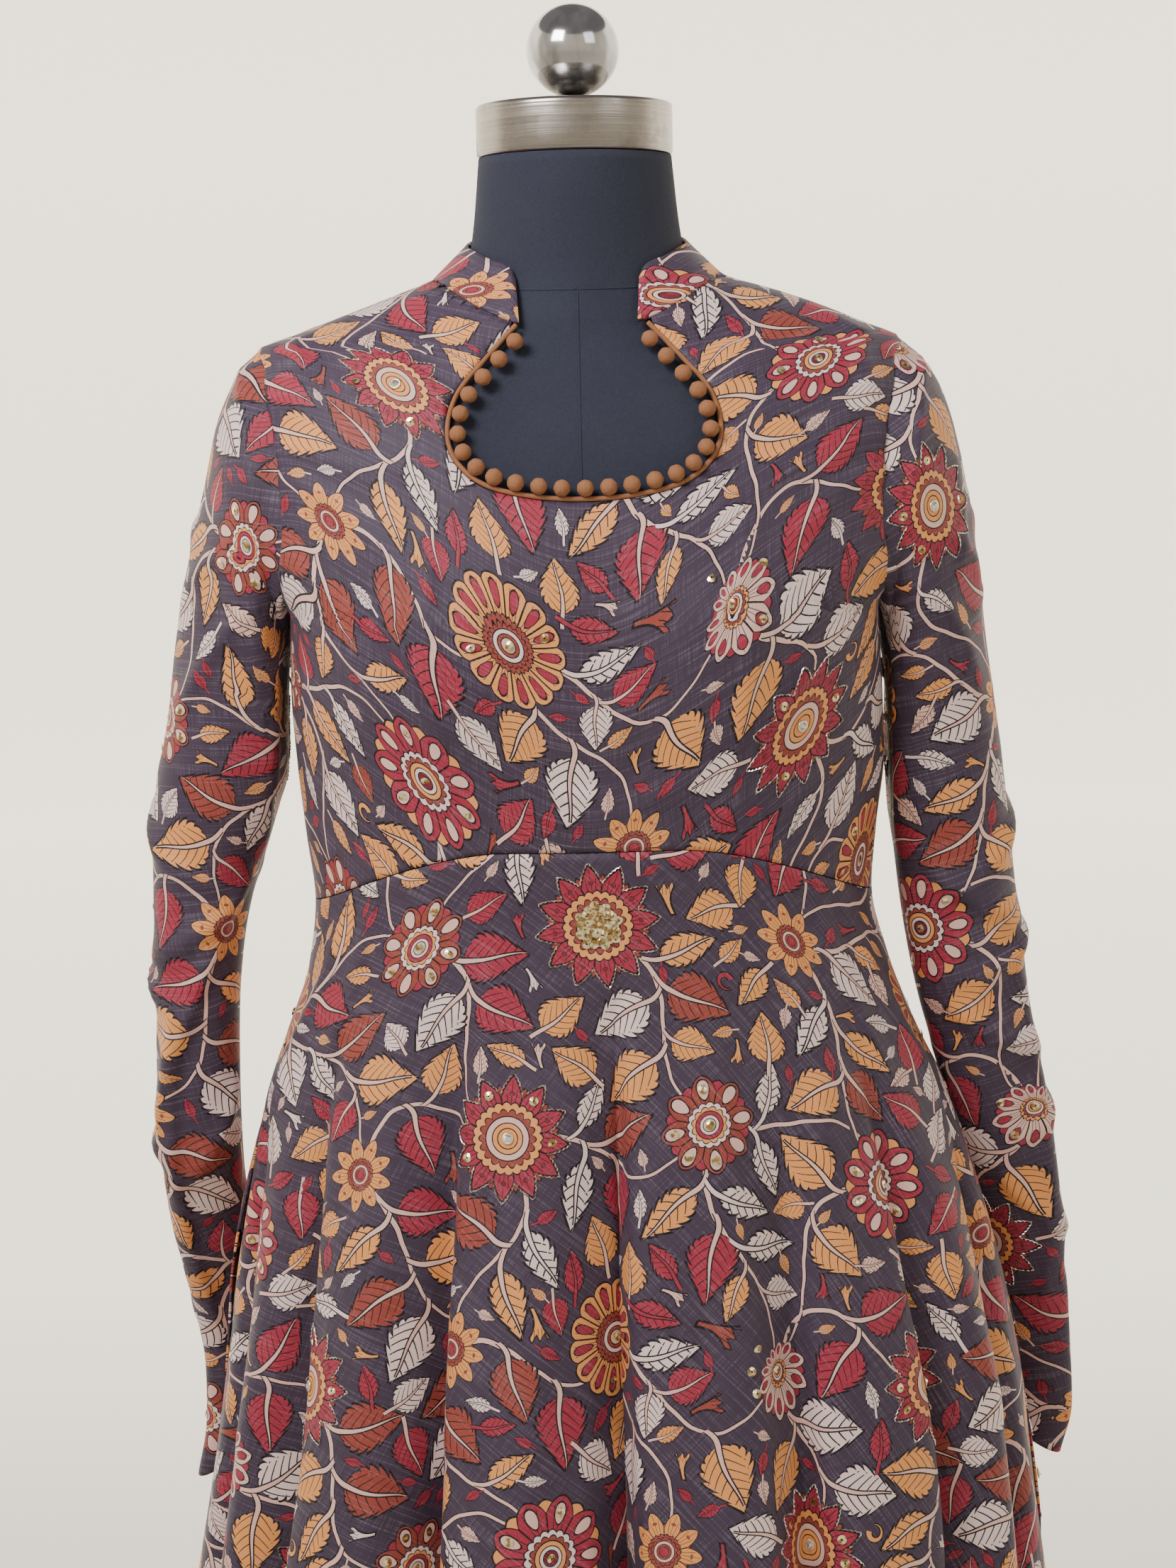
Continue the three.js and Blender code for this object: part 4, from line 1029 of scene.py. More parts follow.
# Creases that run down from the waist seam, as in creased(), measured down from the seam.
SKIRT_CREASES = {
    "skirt_front": [
        (10, 60, 16, 420, 5, 3.0, 5, 16), (-52, 40, -66, 330, -4, 2.4, 12, 6),
        (-96, 30, -140, 420, -8, 3.0, 8, 14), (-128, 10, -196, 330, -6, 3.0, 7, 12),
        (-150, 8, -240, 260, -6, 3.0, 6, 11), (62, 46, 84, 300, 5, 2.0, 6, 14),
        (104, 20, 158, 400, 9, 3.0, 14, 8), (132, 8, 214, 320, 7, 3.0, 11, 7),
        (154, 6, 250, 260, 6, 3.0, 11, 6), (36, 150, 52, 560, -6, 2.6, 14, 7),
        (-22, 210, -40, 620, 6, 2.6, 7, 14), (-180, 120, -290, 520, -9, 3.0, 8, 14),
        (190, 110, 300, 520, 9, 3.0, 14, 8), (112, 260, 168, 700, 7, 2.6, 12, 7),
        (-110, 280, -160, 720, -7, 2.6, 7, 12), (-70, 3, -30, 26, 3, 1.4, 6, 8),
        (18, 200, 30, 760, 5, 4.6, 8, 17), (-48, 230, -84, 760, -6, 4.8, 17, 8),
        (78, 250, 112, 760, 6, 4.6, 8, 16), (-128, 210, -206, 700, -8, 4.8, 16, 9),
        (146, 200, 226, 700, 8, 4.6, 9, 16), (-8, 290, -2, 780, 4, 4.0, 15, 7),
    ],
    "skirt_back": [
        (0, 20, 4, 360, 5, 2.6, 7, 14), (-48, 12, -80, 400, -5, 2.8, 12, 7),
        (56, 16, 90, 380, 6, 2.8, 7, 12), (-100, 10, -160, 360, -7, 3.0, 8, 13),
        (108, 8, 170, 380, 7, 3.0, 13, 8), (-146, 6, -240, 300, -6, 3.0, 6, 11),
        (150, 6, 244, 310, 6, 3.0, 11, 6), (-20, 220, -30, 640, 6, 2.6, 7, 14),
        (30, 240, 50, 660, -6, 2.6, 14, 7), (-190, 150, -300, 560, -9, 3.0, 8, 14),
        (196, 140, 310, 540, 9, 3.0, 14, 8), (-64, 240, -96, 740, -6, 4.6, 16, 8),
        (84, 230, 124, 740, 6, 4.6, 8, 16), (2, 260, 12, 760, 5, 4.2, 8, 15),
        (-136, 220, -214, 700, -8, 4.6, 16, 9), (142, 210, 220, 700, 8, 4.6, 9, 16),
    ],
}
for name, middle in (("skirt_front", 0), ("skirt_back", 180)):
    points = skirt_half(middle)
    flat = umbrella_cut(points)
    down = np.linalg.norm(flat, axis=-1)
    fan = np.stack([flat[..., 0] * SKIRT_INNER / down, down - SKIRT_INNER], axis=-1)
    slight = small_creases(middle + 3, 90, (-260, 20, 260, 800), high=1.1, spread=0.18)
    points = creased(points, fan, SKIRT_CREASES[name] + slight)
    mesh = grid_mesh(name, points, flat)
    print_cloth(mesh, SKIRT_SHIFT[name], 0.7)
    cloths[name] = points, flat, SKIRT_SHIFT[name]
    piece = show(name + "_cloth", mesh, cotton)
    thicken(piece, CLOTH)
    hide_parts(name)


# ---------------------------------------------------------------- sleeves
# Each sleeve is one long piece, sewn up the inner arm. It hangs empty, pressed flat towards the
# cuff, and lies behind the skirt's flare, so it buckles at the elbow and down the forearm.

SLEEVE_NAMES = ("outX", "outZ", "inX", "inZ", "back", "deep", "lean")
SLEEVES = {
    "sleeve_left": np.array([
        (200, 1350, 174, 1190, 0, 66, 0), (213, 1326, 176, 1168, 0, 60, 0),
        (222, 1293, 177.5, 1146, 0, 54, 0), (228, 1256, 178, 1124, 0, 48, 0),
        (233, 1220, 178.5, 1104, 0, 43, 0), (237, 1180, 179, 1082, 0, 39, 0),
        (243, 1135, 181, 1060, 0, 36, 0), (248, 1090, 184, 1032, 0, 33, 0),
        (253, 1040, 189, 1000, 2, 30, 2), (257.5, 1002, 195, 972, 5, 27, 6),
        (262, 962, 204, 940, 10, 25, 12), (269, 922, 213, 906, 18, 23, 18),
        (276, 880, 221, 868, 30, 21, 24), (282, 838, 229, 830, 42, 19, 28),
        (288, 790, 237, 786, 56, 17, 30), (292, 744, 243, 742, 66, 15, 30),
        (294, 700, 248, 712, 70, 14, 28), (287, 668, 250, 696, 72, 13, 26),
    ], float),
    "sleeve_right": np.array([
        (198, 1351, 174, 1190, 0, 66, 0), (212, 1320, 175.5, 1168, 0, 60, 0),
        (221, 1283, 176.5, 1146, 2, 54, 0), (229, 1252, 177, 1126, 4, 48, 0),
        (237, 1219, 179, 1108, 6, 43, 0), (243, 1186, 183, 1096, 8, 39, 0),
        (249, 1145, 189, 1078, 10, 36, 0), (257, 1110, 196, 1060, 12, 33, 2),
        (261, 1070, 202, 1040, 14, 30, 4), (262, 1030, 208, 1014, 16, 28, 6),
        (263, 980, 213, 972, 18, 26, 8), (264, 930, 215, 926, 22, 24, 10),
        (264, 888, 216, 886, 28, 22, 14), (262, 850, 216.5, 850, 42, 20, 20),
        (256.5, 810, 215, 812, 58, 18, 26), (250, 770, 211, 774, 76, 16, 30),
        (247, 729, 209, 736, 88, 15, 30), (249, 690, 211, 702, 94, 14, 28),
        (256, 656, 216, 684, 96, 13, 26),
    ], float),
}
SLEEVE_GRID = (201, 109)
SLEEVE_TUCK = 1.6              # the sleeve head goes in under the edge of the armhole


def sleeve_point(rings, side, angle, row):
    """A place on a sleeve: angle 0 on its outer edge, 90 at the front, 180 on its inner seam."""
    stops = np.arange(len(rings))
    read = {n: smooth(stops, rings[:, k], np.maximum(row, 0)) for k, n in enumerate(SLEEVE_NAMES)}
    outer = np.stack([read["outX"], read["back"] - read["lean"] / 2, read["outZ"]], axis=-1)
    inner = np.stack([read["inX"], read["back"] + read["lean"] / 2, read["inZ"]], axis=-1)
    wide = (outer - inner) / 2
    deep = np.stack([wide[..., 1], -wide[..., 0], 0 * wide[..., 0]], axis=-1)
    deep *= (read["deep"] / np.linalg.norm(deep, axis=-1))[..., None]
    c, s = np.cos(np.radians(angle))[..., None], np.sin(np.radians(angle))[..., None]
    ring = (outer + inner) / 2 + wide * c + deep * s
    ring[..., 0] *= side
    middle, half = (SHOULDER_POINT + UNDERARM) / 2, (SHOULDER_POINT - UNDERARM) / 2
    z = middle + half * c[..., 0]
    edge = smooth(ARMHOLE[:, 0], ARMHOLE[:, 1], z)
    head = body_point(side * np.where(s[..., 0] >= 0, edge, 180 - edge), z)
    head[..., 0] -= side * SLEEVE_TUCK
    share = np.clip(row + 1, 0, 1)[..., None]
    return head + (ring - head) * share


AXIS_LEAN = (150, 0, 1390)     # the arm's axis goes up from the first ring towards here


def sleeve_cut(points, rings, side):
    """Places in the flat cut: y down the arm's axis, x round it from the outer edge."""
    middles = np.stack([rings[:, 0] + rings[:, 2], 2 * rings[:, 4], rings[:, 1] + rings[:, 3]], axis=1) / 2
    slope = unit(np.gradient(middles, axis=0))
    tilt = np.stack([rings[:, 0] - rings[:, 2], -rings[:, 6], rings[:, 1] - rings[:, 3]], axis=1)
    square = tilt - slope * (tilt * slope).sum(axis=1)[:, None]
    half = np.linalg.norm(square, axis=1) / 2
    middles = np.vstack([AXIS_LEAN, middles])
    half, deep = np.append(half[0], half), np.append(rings[0, 5], rings[:, 5])
    axis = evened(np.column_stack([middles, half, deep]), 400)
    heading = unit(np.gradient(axis[:, :3], axis=0))
    run = run_along(axis[:, :3])
    own = points * (side, 1, 1)
    k = np.stack([np.linalg.norm(row[:, None] - axis[None, :, :3], axis=2).argmin(axis=1) for row in own])
    away = own - axis[k, :3]
    outer = np.cross(heading[k], (0, 1, 0))
    outer = unit(outer * np.where(outer[..., :1] > 0, 1, -1))
    ahead = np.cross(outer, heading[k])
    ahead *= np.where(ahead[..., 1:2] < 0, 1, -1)
    u, v = (away * outer).sum(axis=-1) / axis[k, 3], (away * ahead).sum(axis=-1) / axis[k, 4]
    turn = np.unwrap(np.arctan2(v, u) * side, axis=1)
    turn -= 2 * np.pi * np.round(turn[:, len(turn[0]) // 2] / (2 * np.pi))[:, None]
    size = np.sqrt((axis[k, 3] ** 2 + axis[k, 4] ** 2) / 2)
    along = run[k] + (away * heading[k]).sum(axis=-1)
    return settle(np.stack([turn * size, along], axis=-1), points, rounds=500)


SLEEVE_CREASES = {             # as in creased(): x round from the outer edge, y down from the shoulder
    "sleeve_left": [
        (-60, 120, 20, 150, 6, 2.2, 7, 11), (70, 150, 10, 190, 6, 2.4, 7, 11),
        (84, 176, 30, 240, 6, 2.8, 6, 10), (-20, 300, 62, 356, 8, 3.2, 6, 10),
        (80, 330, 6, 386, -7, 3.6, 6, 10), (-30, 372, 60, 410, 8, 3.6, 5, 9),
        (70, 420, 0, 470, -6, 3.4, 6, 10), (18, 400, 30, 640, 5, 3.0, 5, 12),
        (-60, 380, -10, 440, 6, 3.0, 6, 10), (-40, 470, 40, 520, 6, 2.8, 6, 9),
        (50, 540, 0, 600, -5, 2.8, 5, 9), (-70, 560, -20, 640, 5, 2.6, 6, 9),
        (96, 200, 96, 330, 5, 2.6, 6, 10), (-96, 240, -80, 360, 5, 2.6, 6, 10),
    ],
    "sleeve_right": [
        (60, 120, -20, 150, -6, 2.2, 11, 7), (-70, 150, -10, 190, -6, 2.4, 11, 7),
        (-84, 176, -30, 250, -6, 2.8, 10, 6), (16, 300, -60, 350, -8, 3.2, 10, 6),
        (-80, 350, -6, 400, 7, 3.8, 10, 6), (-66, 372, -10, 520, -6, 4.2, 11, 5),
        (26, 392, -56, 430, -8, 3.6, 9, 5), (-30, 430, -26, 660, -6, 4.0, 12, 5),
        (60, 380, 10, 450, -6, 3.0, 10, 6), (-70, 470, -20, 540, 6, 3.0, 9, 6),
        (40, 480, -30, 520, -6, 2.8, 9, 6), (30, 560, -10, 640, -5, 2.6, 9, 5),
        (-96, 200, -96, 330, -5, 2.6, 10, 6), (96, 240, 80, 360, -5, 2.6, 10, 6),
    ],
}
CRUMPLE = 1.35                 # the empty sleeves crumple by this much more than the tables say
for name, side in (("sleeve_left", 1), ("sleeve_right", -1)):
    rings = SLEEVES[name]
    angle = 180 + 360 * side * np.linspace(0, 1, SLEEVE_GRID[1])[None, :]
    row = len(rings) * np.linspace(0, 1, SLEEVE_GRID[0])[:, None] - 1
    angle, row = np.broadcast_arrays(angle, row)
    points = sleeve_point(rings, side, angle, row)
    flat = sleeve_cut(points, rings, side)
    slight = small_creases(5 + side, 70, (-100, 60, 100, 680), high=1.0, heading=0.9, spread=0.8)
    creases = (creased(points, flat, SLEEVE_CREASES[name] + slight) - points) * CRUMPLE
    from_seam = np.clip((1 - np.abs(np.linspace(-1, 1, SLEEVE_GRID[1]))) * 12, 0, 1)[None, :, None]
    points = points + creases * from_seam * np.clip(row + 1, 0, 1)[..., None]
    mesh = grid_mesh(name, points, flat)
    shift = (100 * side, 200)
    print_cloth(mesh, shift, 0.2)
    cloths[name] = points, flat, shift
    bm = bmesh.new()
    bm.from_mesh(mesh)
    bmesh.ops.remove_doubles(bm, verts=bm.verts, dist=1e-6)
    bm.to_mesh(mesh)
    bm.free()
    piece = show(name + "_cloth", mesh, cotton)
    thicken(piece, CLOTH)
    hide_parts(name + "_upper", name + "_lower")


# ---------------------------------------------------------------- collar
# A narrow stiffened stand collar, open at the centre front where the piping's two ends meet it.

COLLAR = np.array([            # turn of the seam, turn of the top edge, and the top edge's level
    (25, 33, 1397), (27.5, 36, 1402.5), (31.5, 40, 1405.5), (45, 51, 1409), (66, 69, 1415),
    (90, 90, 1419.5), (120, 120, 1425), (150, 150, 1430), (180, 180, 1432),
], float)
COLLAR_TOP_HALF, COLLAR_TOP_FRONT, COLLAR_TOP_BACK = 64, 62, 61
COLLAR_CLOTH = 2               # stiffened
COLLAR_GRID = (9, 161)


def collar_grid():
    side = np.linspace(-1, 1, COLLAR_GRID[1])[None, :]
    down = np.linspace(0, 1, COLLAR_GRID[0])[:, None]
    row = (1 - np.abs(side)) * (len(COLLAR) - 1)
    sign = np.where(side < 0, -1, 1)
    stops = np.arange(len(COLLAR))
    seam_turn = 180 - sign * (180 - smooth(stops, COLLAR[:, 0], row))
    top_turn = 180 - sign * (180 - smooth(stops, COLLAR[:, 1], row))
    across, ahead = outline(seam_turn, section("round", NECK_BASE))
    x = across * COLLAR_SIDE[0]
    level = np.where(ahead > 0, collar_seam_at(x), COLLAR_SIDE[1])
    y = np.where(ahead > 0, front_at(x, level), -ahead * section("back", COLLAR_SIDE[1]))
    seam = np.stack([x, y, level + SEAM], axis=-1)
    top_across, top_ahead = outline(top_turn, 2)
    depth = np.where(top_ahead > 0, COLLAR_TOP_FRONT, COLLAR_TOP_BACK)
    level = smooth(stops, COLLAR[:, 2], row)
    top = np.stack([top_across * COLLAR_TOP_HALF, -top_ahead * depth, level], axis=-1)
    return top + (seam - top) * down[..., None]


points = collar_grid()
mesh = grid_mesh("collar", points, flat_cut(points))
print_cloth(mesh, (0, 90), 0.0)
piece = show("collar_cloth", mesh, cotton)
thicken(piece, COLLAR_CLOTH)
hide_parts("collar")


# ---------------------------------------------------------------- piping and fabric balls
# A bias-cut piping edges the keyhole, and 25 fabric-covered balls are sewn close together inside it.

def tube(points, radius, sides, out):
    """Rings round a line of points, in millimetres, that lies on a surface which faces out."""
    heading = unit(np.gradient(points, axis=0))
    aside = unit(np.cross(heading, out))
    over = np.cross(heading, aside)
    turn = np.arange(sides) * 2 * np.pi / sides
    ring = np.cos(turn)[None, :, None] * aside[:, None] + np.sin(turn)[None, :, None] * over[:, None]
    radius = np.broadcast_to(radius, len(points))[:, None, None]
    return points[:, None] + ring * radius


def join_rings(bm, rings, capped=True):
    """Faces between rings of points, each to the next, and over both ends."""
    for low, high in zip(rings, rings[1:]):
        for k in range(len(low)):
            n = (k + 1) % len(low)
            bm.faces.new((low[k], low[n], high[n], high[k]))
    if capped:
        bm.faces.new(rings[0][::-1])
        bm.faces.new(rings[-1])


def add_tube(bm, points, radius, sides, out=(0, -1, 0)):
    join_rings(bm, [[bm.verts.new(p) for p in ring] for ring in tube(points, radius, sides, out) * MM])


def mesh_of(name, bm, smooth_all=True):
    bmesh.ops.recalc_face_normals(bm, faces=bm.faces)
    mesh = bpy.data.meshes.new(name)
    bm.to_mesh(mesh)
    bm.free()
    if smooth_all:
        mesh.shade_smooth()
    return mesh


def finished(name, bm, material, smooth_all=True):
    return show(name, mesh_of(name, bm, smooth_all), material)


POTLI_COUNT, POTLI = 25, 4.8   # how many balls, and their radius
POTLI_INSET, POTLI_OUT = 5.9, 3.6  # how far in from the piping and out from the cloth a ball's middle is
POTLI_FIRST = 0.022            # share of the neckline before the first ball and after the last
PLEATS = 7
rust_cloth = plain("piping_cloth", (0.30, 0.125, 0.05), 0.85)
tree, surface, place = surface_of(rust_cloth)
nap, uneven = place.noise(900.0, 2.0), place.noise(160.0, 2.0)
shade = tone(tree, (0.40, 0.18, 0.08)).over(tone(tree, (0.20, 0.075, 0.028)), nap * 0.5 + uneven * 0.5)
shade.into(surface, "Base Color")
(nap * 0.4 + uneven).raise_grain(surface, 0.6, 0.0006)

bm = bmesh.new()
on_front = np.stack([neckline[:, 0], front_at(neckline[:, 0], neckline[:, 1]), neckline[:, 1]], axis=1)
add_tube(bm, on_front, PIPING, 10)
piece = finished("neckline_piping", bm, rust_cloth)
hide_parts("neck_piping")

bm = bmesh.new()
for k in range(POTLI_COUNT):
    share = POTLI_FIRST + (1 - 2 * POTLI_FIRST) * k / (POTLI_COUNT - 1)
    at = share * (len(neckline) - 1)
    place = [np.interp(at, np.arange(len(neckline)), neckline[:, j] - POTLI_INSET * neck_outward[:, j])
             for j in (0, 1)]
    centre = Vector((place[0], float(front_at(place[0], place[1])) - POTLI_OUT, place[1])) * MM
    made = bmesh.ops.create_uvsphere(bm, u_segments=24, v_segments=14, radius=POTLI * MM)
    for v in made["verts"]:    # the cloth is gathered behind the ball, and pleated towards there
        pleat = math.cos(PLEATS * math.atan2(v.co.x, v.co.y) + k) * math.hypot(v.co.x, v.co.y) / (POTLI * MM)
        v.co *= 1 + 0.022 * pleat + 0.02 * math.sin(3 * v.co.z / (POTLI * MM) + k)
    turn = Matrix.Rotation(-math.pi / 2 + 0.3 * math.sin(5 * k), 4, "X") @ Matrix.Rotation(1.3 * k, 4, "Z")
    bmesh.ops.rotate(bm, verts=made["verts"], cent=(0, 0, 0), matrix=turn)
    bmesh.ops.translate(bm, verts=made["verts"], vec=centre)
piece = finished("potli_balls", bm, rust_cloth)
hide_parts(*[f"potli_{k:02d}" for k in range(1, POTLI_COUNT + 1)])


# ---------------------------------------------------------------- embroidery
# Hand embroidery on the made-up kurta: crimped silver-gilt thread laid round the star flowers, gold
# sequins on petals and hearts, and a cut crystal in a gilt ring at the heart of each star.

WINDOW = 26                    # a flower covers fewer rows and columns than this, each way


def on_cloth(name, near, places):
    """Finds places of the flat cut on the made-up cloth, near a row and column of it: where they
    are, which way is out, and whether they are on it at all."""
    points, flat, _ = cloths[name]
    first = np.maximum(np.array(near) - WINDOW, 1)
    last = np.minimum(np.array(near) + WINDOW + 1, np.array(flat.shape[:2]) - 1)
    window = flat[first[0]:last[0], first[1]:last[1]]
    k = np.linalg.norm(places[:, None] - window.reshape(1, -1, 2), axis=2).argmin(axis=1)
    r, c = first[0] + k // window.shape[1], first[1] + k % window.shape[1]
    across, down = (flat[r, c + 1] - flat[r, c - 1]) / 2, (flat[r + 1, c] - flat[r - 1, c]) / 2
    away = places - flat[r, c]
    size = across[:, 0] * down[:, 1] - across[:, 1] * down[:, 0]
    a = (away[:, 0] * down[:, 1] - away[:, 1] * down[:, 0]) / size
    b = (across[:, 0] * away[:, 1] - across[:, 1] * away[:, 0]) / size
    spot = points[r, c] + (points[r, c + 1] - points[r, c - 1]) / 2 * a[:, None]
    spot += (points[r + 1, c] - points[r - 1, c]) / 2 * b[:, None]
    on = (np.abs(a) < 1.1) & (np.abs(b) < 1.1)
    if name == "bodice_front":
        on &= ~np.array([inside_outline(opening, x, z) for x, _, z in spot])
    return spot, outwards[name][r, c], on


def printed_flowers(name):
    """Each flower on a cloth: its kind, turn, place in the flat cut and nearest row and column."""
    _, flat, shift = cloths[name]
    places = (flat + shift).reshape(-1, 2)
    low, high = places.min(axis=0), places.max(axis=0)
    for kind, x, y, angle in flowers:
        for i in range(math.floor((low[0] - x) / TILE), math.ceil((high[0] - x) / TILE) + 1):
            for j in range(math.floor((low[1] - y) / TILE), math.ceil((high[1] - y) / TILE) + 1):
                at = np.array([x + i * TILE, y + j * TILE]) - shift
                gap = np.linalg.norm(flat - at, axis=-1)
                if gap.min() < 6:
                    yield kind, angle, at, np.unravel_index(gap.argmin(), gap.shape)


def spread(at, angle, radius, turns):
    """Places round a flower, at a radius and at turns as the print counts them (0 to 1)."""
    around = (np.asarray(turns) - 0.5) * 2 * np.pi + angle
    return at + np.stack([radius * np.cos(around), radius * np.sin(around)], axis=-1)


def add_round(bm, centre, out, profile, sides, open_middle):
    """A small round thing on the cloth; its profile is radius and height in mm."""
    aside = np.cross(out, (0.31, 0.17, 0.93))
    aside /= np.linalg.norm(aside)
    over = np.cross(out, aside)
    turn = np.arange(sides) * 2 * np.pi / sides
    circle = np.cos(turn)[:, None] * aside + np.sin(turn)[:, None] * over
    rings = [[bm.verts.new(p) for p in (centre + circle * r + out * h) * MM] for r, h in profile]
    join_rings(bm, rings + rings[:1] if open_middle else rings, capped=not open_middle)


SEQUIN = [(2.7, 0.05), (0.6, 0.5), (0.6, 0.05)]
RING = [(3.6, 0.0), (3.2, 0.8), (2.3, 0.8), (2.0, 0.0)]
CRYSTAL = [(2.3, 0.0), (2.3, 0.9), (1.2, 1.9)]
THREAD, ZIGZAG, STITCH = 0.52, 0.30, 1.25  # radius of the thread, how far it wanders, and its crimps
ON_TOP = 0.35                  # how far above the cloth all of it lies
STAR, SMALL = 0, 3             # the kinds of flower that are outlined in thread, and that have nothing
HEART_SEQUINS, HEART, GOLDEN = 34, 12.5, 0.382  # the waist star's heart: sequins, radius and their turn
outwards = {name: normals(points) for name, (points, _, _) in cloths.items()}
needle = np.random.default_rng(5)
thread, sequins, rings, crystals = (bmesh.new() for _ in range(4))


def sew_sequin(spot, out):
    """A cupped sequin, sewn down a little askew."""
    tilted = out + needle.uniform(-0.34, 0.34, 3)
    add_round(sequins, spot + out * ON_TOP, tilted / np.linalg.norm(tilted), SEQUIN, 10, True)


for name in cloths:
    for kind, angle, at, near in printed_flowers(name):
        row = FLOWER_KINDS[kind]
        if kind == SMALL:
            continue
        heart, out, on = on_cloth(name, near, at[None])
        star_place = (STAR_ACROSS, SKIRT_INNER + STAR_DROP)
        waist_star = name == "skirt_front" and np.linalg.norm(at - star_place) < 2
        if kind == STAR:
            turns = np.linspace(0, 1, 721)
            between = np.abs((turns * row["petals"]) % 1 - 0.5) * 2
            reach = row["size"] * (1.03 - row["cut"] * between ** row["bow"])
            edge = spread(at, angle, reach, turns)
            edge = evened(edge, int(np.linalg.norm(np.diff(edge, axis=0), axis=1).sum() / STITCH))
            step = unit(np.gradient(edge, axis=0))
            side = np.where(np.arange(len(edge)) % 2, 1, -1) * needle.uniform(0.7, 1.15, len(edge))
            edge = edge + np.stack([-step[:, 1], step[:, 0]], axis=1) * (ZIGZAG * side)[:, None]
            spots, ways, stitched = on_cloth(name, near, edge)
            spots = spots + ways * (ON_TOP + 0.12 * side[:, None])
            for part in np.split(np.arange(len(edge)), np.flatnonzero(~stitched)):
                part = part[stitched[part]]
                if len(part) > 3:
                    add_tube(thread, spots[part], THREAD * (0.72 + 0.28 * side[part]), 4, ways[part])
        if waist_star:
            for k in range(HEART_SEQUINS):
                place = spread(at, 0, HEART * math.sqrt((k + 0.5) / HEART_SEQUINS), [GOLDEN * k % 1])
                spots, ways, _ = on_cloth(name, near, place)
                sew_sequin(spots[0] + ways[0] * 0.6 * (k % 3), ways[0])
            continue
        if on[0] and kind == STAR:
            add_round(rings, heart[0] + out[0] * ON_TOP, out[0], RING, 14, True)
            add_round(crystals, heart[0] + out[0] * (ON_TOP + 0.2), out[0], CRYSTAL, 8, False)
        elif on[0]:
            sew_sequin(heart[0], out[0])
        petals = needle.permutation(row["petals"])[:int(needle.integers(2, 5))]
        places = spread(at, angle, row["size"] * 0.72, (petals + 0.5) / row["petals"])
        for spot, way, there in zip(*on_cloth(name, near, places)):
            if there:
                sew_sequin(spot, way)


def glinting(name, dull, bright, grain, roughness):
    """Metal that glints here and there: grain is how many bright places to a metre."""
    metal = plain(name, bright, roughness, 0.9)
    tree, surface, place = surface_of(metal)
    share = ((place.noise(grain, 1.0) - 0.43) * 7).held()
    tone(tree, bright).over(tone(tree, dull), share).into(surface, "Base Color")
    return metal


gilt = glinting("gilt_thread", (0.34, 0.28, 0.22), (1.0, 0.95, 0.84), 420.0, 0.3)
gold = glinting("gold_sequin", (0.42, 0.27, 0.09), (1.0, 0.90, 0.58), 330.0, 0.22)
finished("gilt_thread", thread, gilt, False)
finished("gold_sequins", sequins, gold, False)
finished("gilt_rings", rings, plain("gilt_ring", (0.85, 0.78, 0.62), 0.3, 0.9))
finished("cut_crystals", crystals, plain("cut_crystal", (0.85, 0.86, 0.88), 0.05, 0.9), False)


# ---------------------------------------------------------------- dress form
# A limbless torso padded and covered in dark navy knit, with a turned steel cap on the neck and a
# polished ball above it.

FORM_NAMES = ("z", "side", "front", "back", "round")
FORM = np.array([
    (850, 158, 99, 106, 2.2), (868, 168, 107, 113, 2.2), (905, 168, 107, 112, 2.2),
    (950, 160, 104, 103, 2.2), (1000, 147, 100, 93, 2.2), (1045, 141, 99, 88, 2.2),
    (1085, 147, 104, 88, 2.2), (1130, 157, 111, 91, 2.25), (1170, 163, 115, 95, 2.3),
    (1206, 164, 116, 98, 2.35), (1245, 168, 114, 101, 2.5), (1290, 172, 104, 101, 2.6),
    (1325, 173, 92, 96, 2.5), (1345, 172, 83, 90, 2.2), (1357, 168, 76, 83, 1.8),
    (1365, 146, 72, 77, 1.6), (1375, 118, 69, 71, 1.5), (1385, 93, 64, 65, 1.55),
    (1396, 73, 59.5, 60, 1.75), (1408, 64, 57, 57.5, 1.95), (1428, 60, 56, 57, 2),
    (1468, 56, 56, 56, 2),
], float)


def form_point(turn, z):
    read = {n: smooth(FORM[:, 0], FORM[:, k], z) for k, n in enumerate(FORM_NAMES)}
    across, ahead = outline(turn, read["round"])
    depth = np.where(ahead > 0, read["front"], read["back"])
    x = across * read["side"]
    y = -ahead * depth - np.where(ahead > 0, bust_at(x, z), 0)
    return np.stack([x, y, np.broadcast_to(z, x.shape)], axis=-1)


navy = plain("form_cover", (0.028, 0.030, 0.052), 0.9)
tree, surface, place = surface_of(navy)
knit, patchy = place.noise(700.0, 1.0), place.noise(14.0, 2.0)
surface.inputs["Sheen Weight"].default_value = 0.04
surface.inputs["Specular IOR Level"].default_value = 0.15
shade = tone(tree, (0.046, 0.050, 0.074)).over(tone(tree, (0.018, 0.021, 0.034)), knit * 0.5 + patchy * 0.5)
shade.into(surface, "Base Color")
knit.raise_grain(surface, 0.4, 0.0004)
turn = np.linspace(0, 360, 97)[None, :-1]
z = np.linspace(FORM[0, 0], FORM[-1, 0], 121)[:, None]
bm = bmesh.new()
join_rings(bm, [[bm.verts.new(p) for p in ring] for ring in form_point(turn, z) * MM])
SEAM_ROLL = 0.55               # the cover's seams stand up by about this much
FORM_SEAMS = [                 # turn, and the lowest and highest level
    (0, 860, 1390), (180, 860, 1404), (38, 870, 1330), (-38, 870, 1330), (142, 870, 1330),
    (-142, 870, 1330),
]


def add_seam(bm, line):
    add_tube(bm, line, SEAM_ROLL, 6, unit(line * (1, 1, 0)))


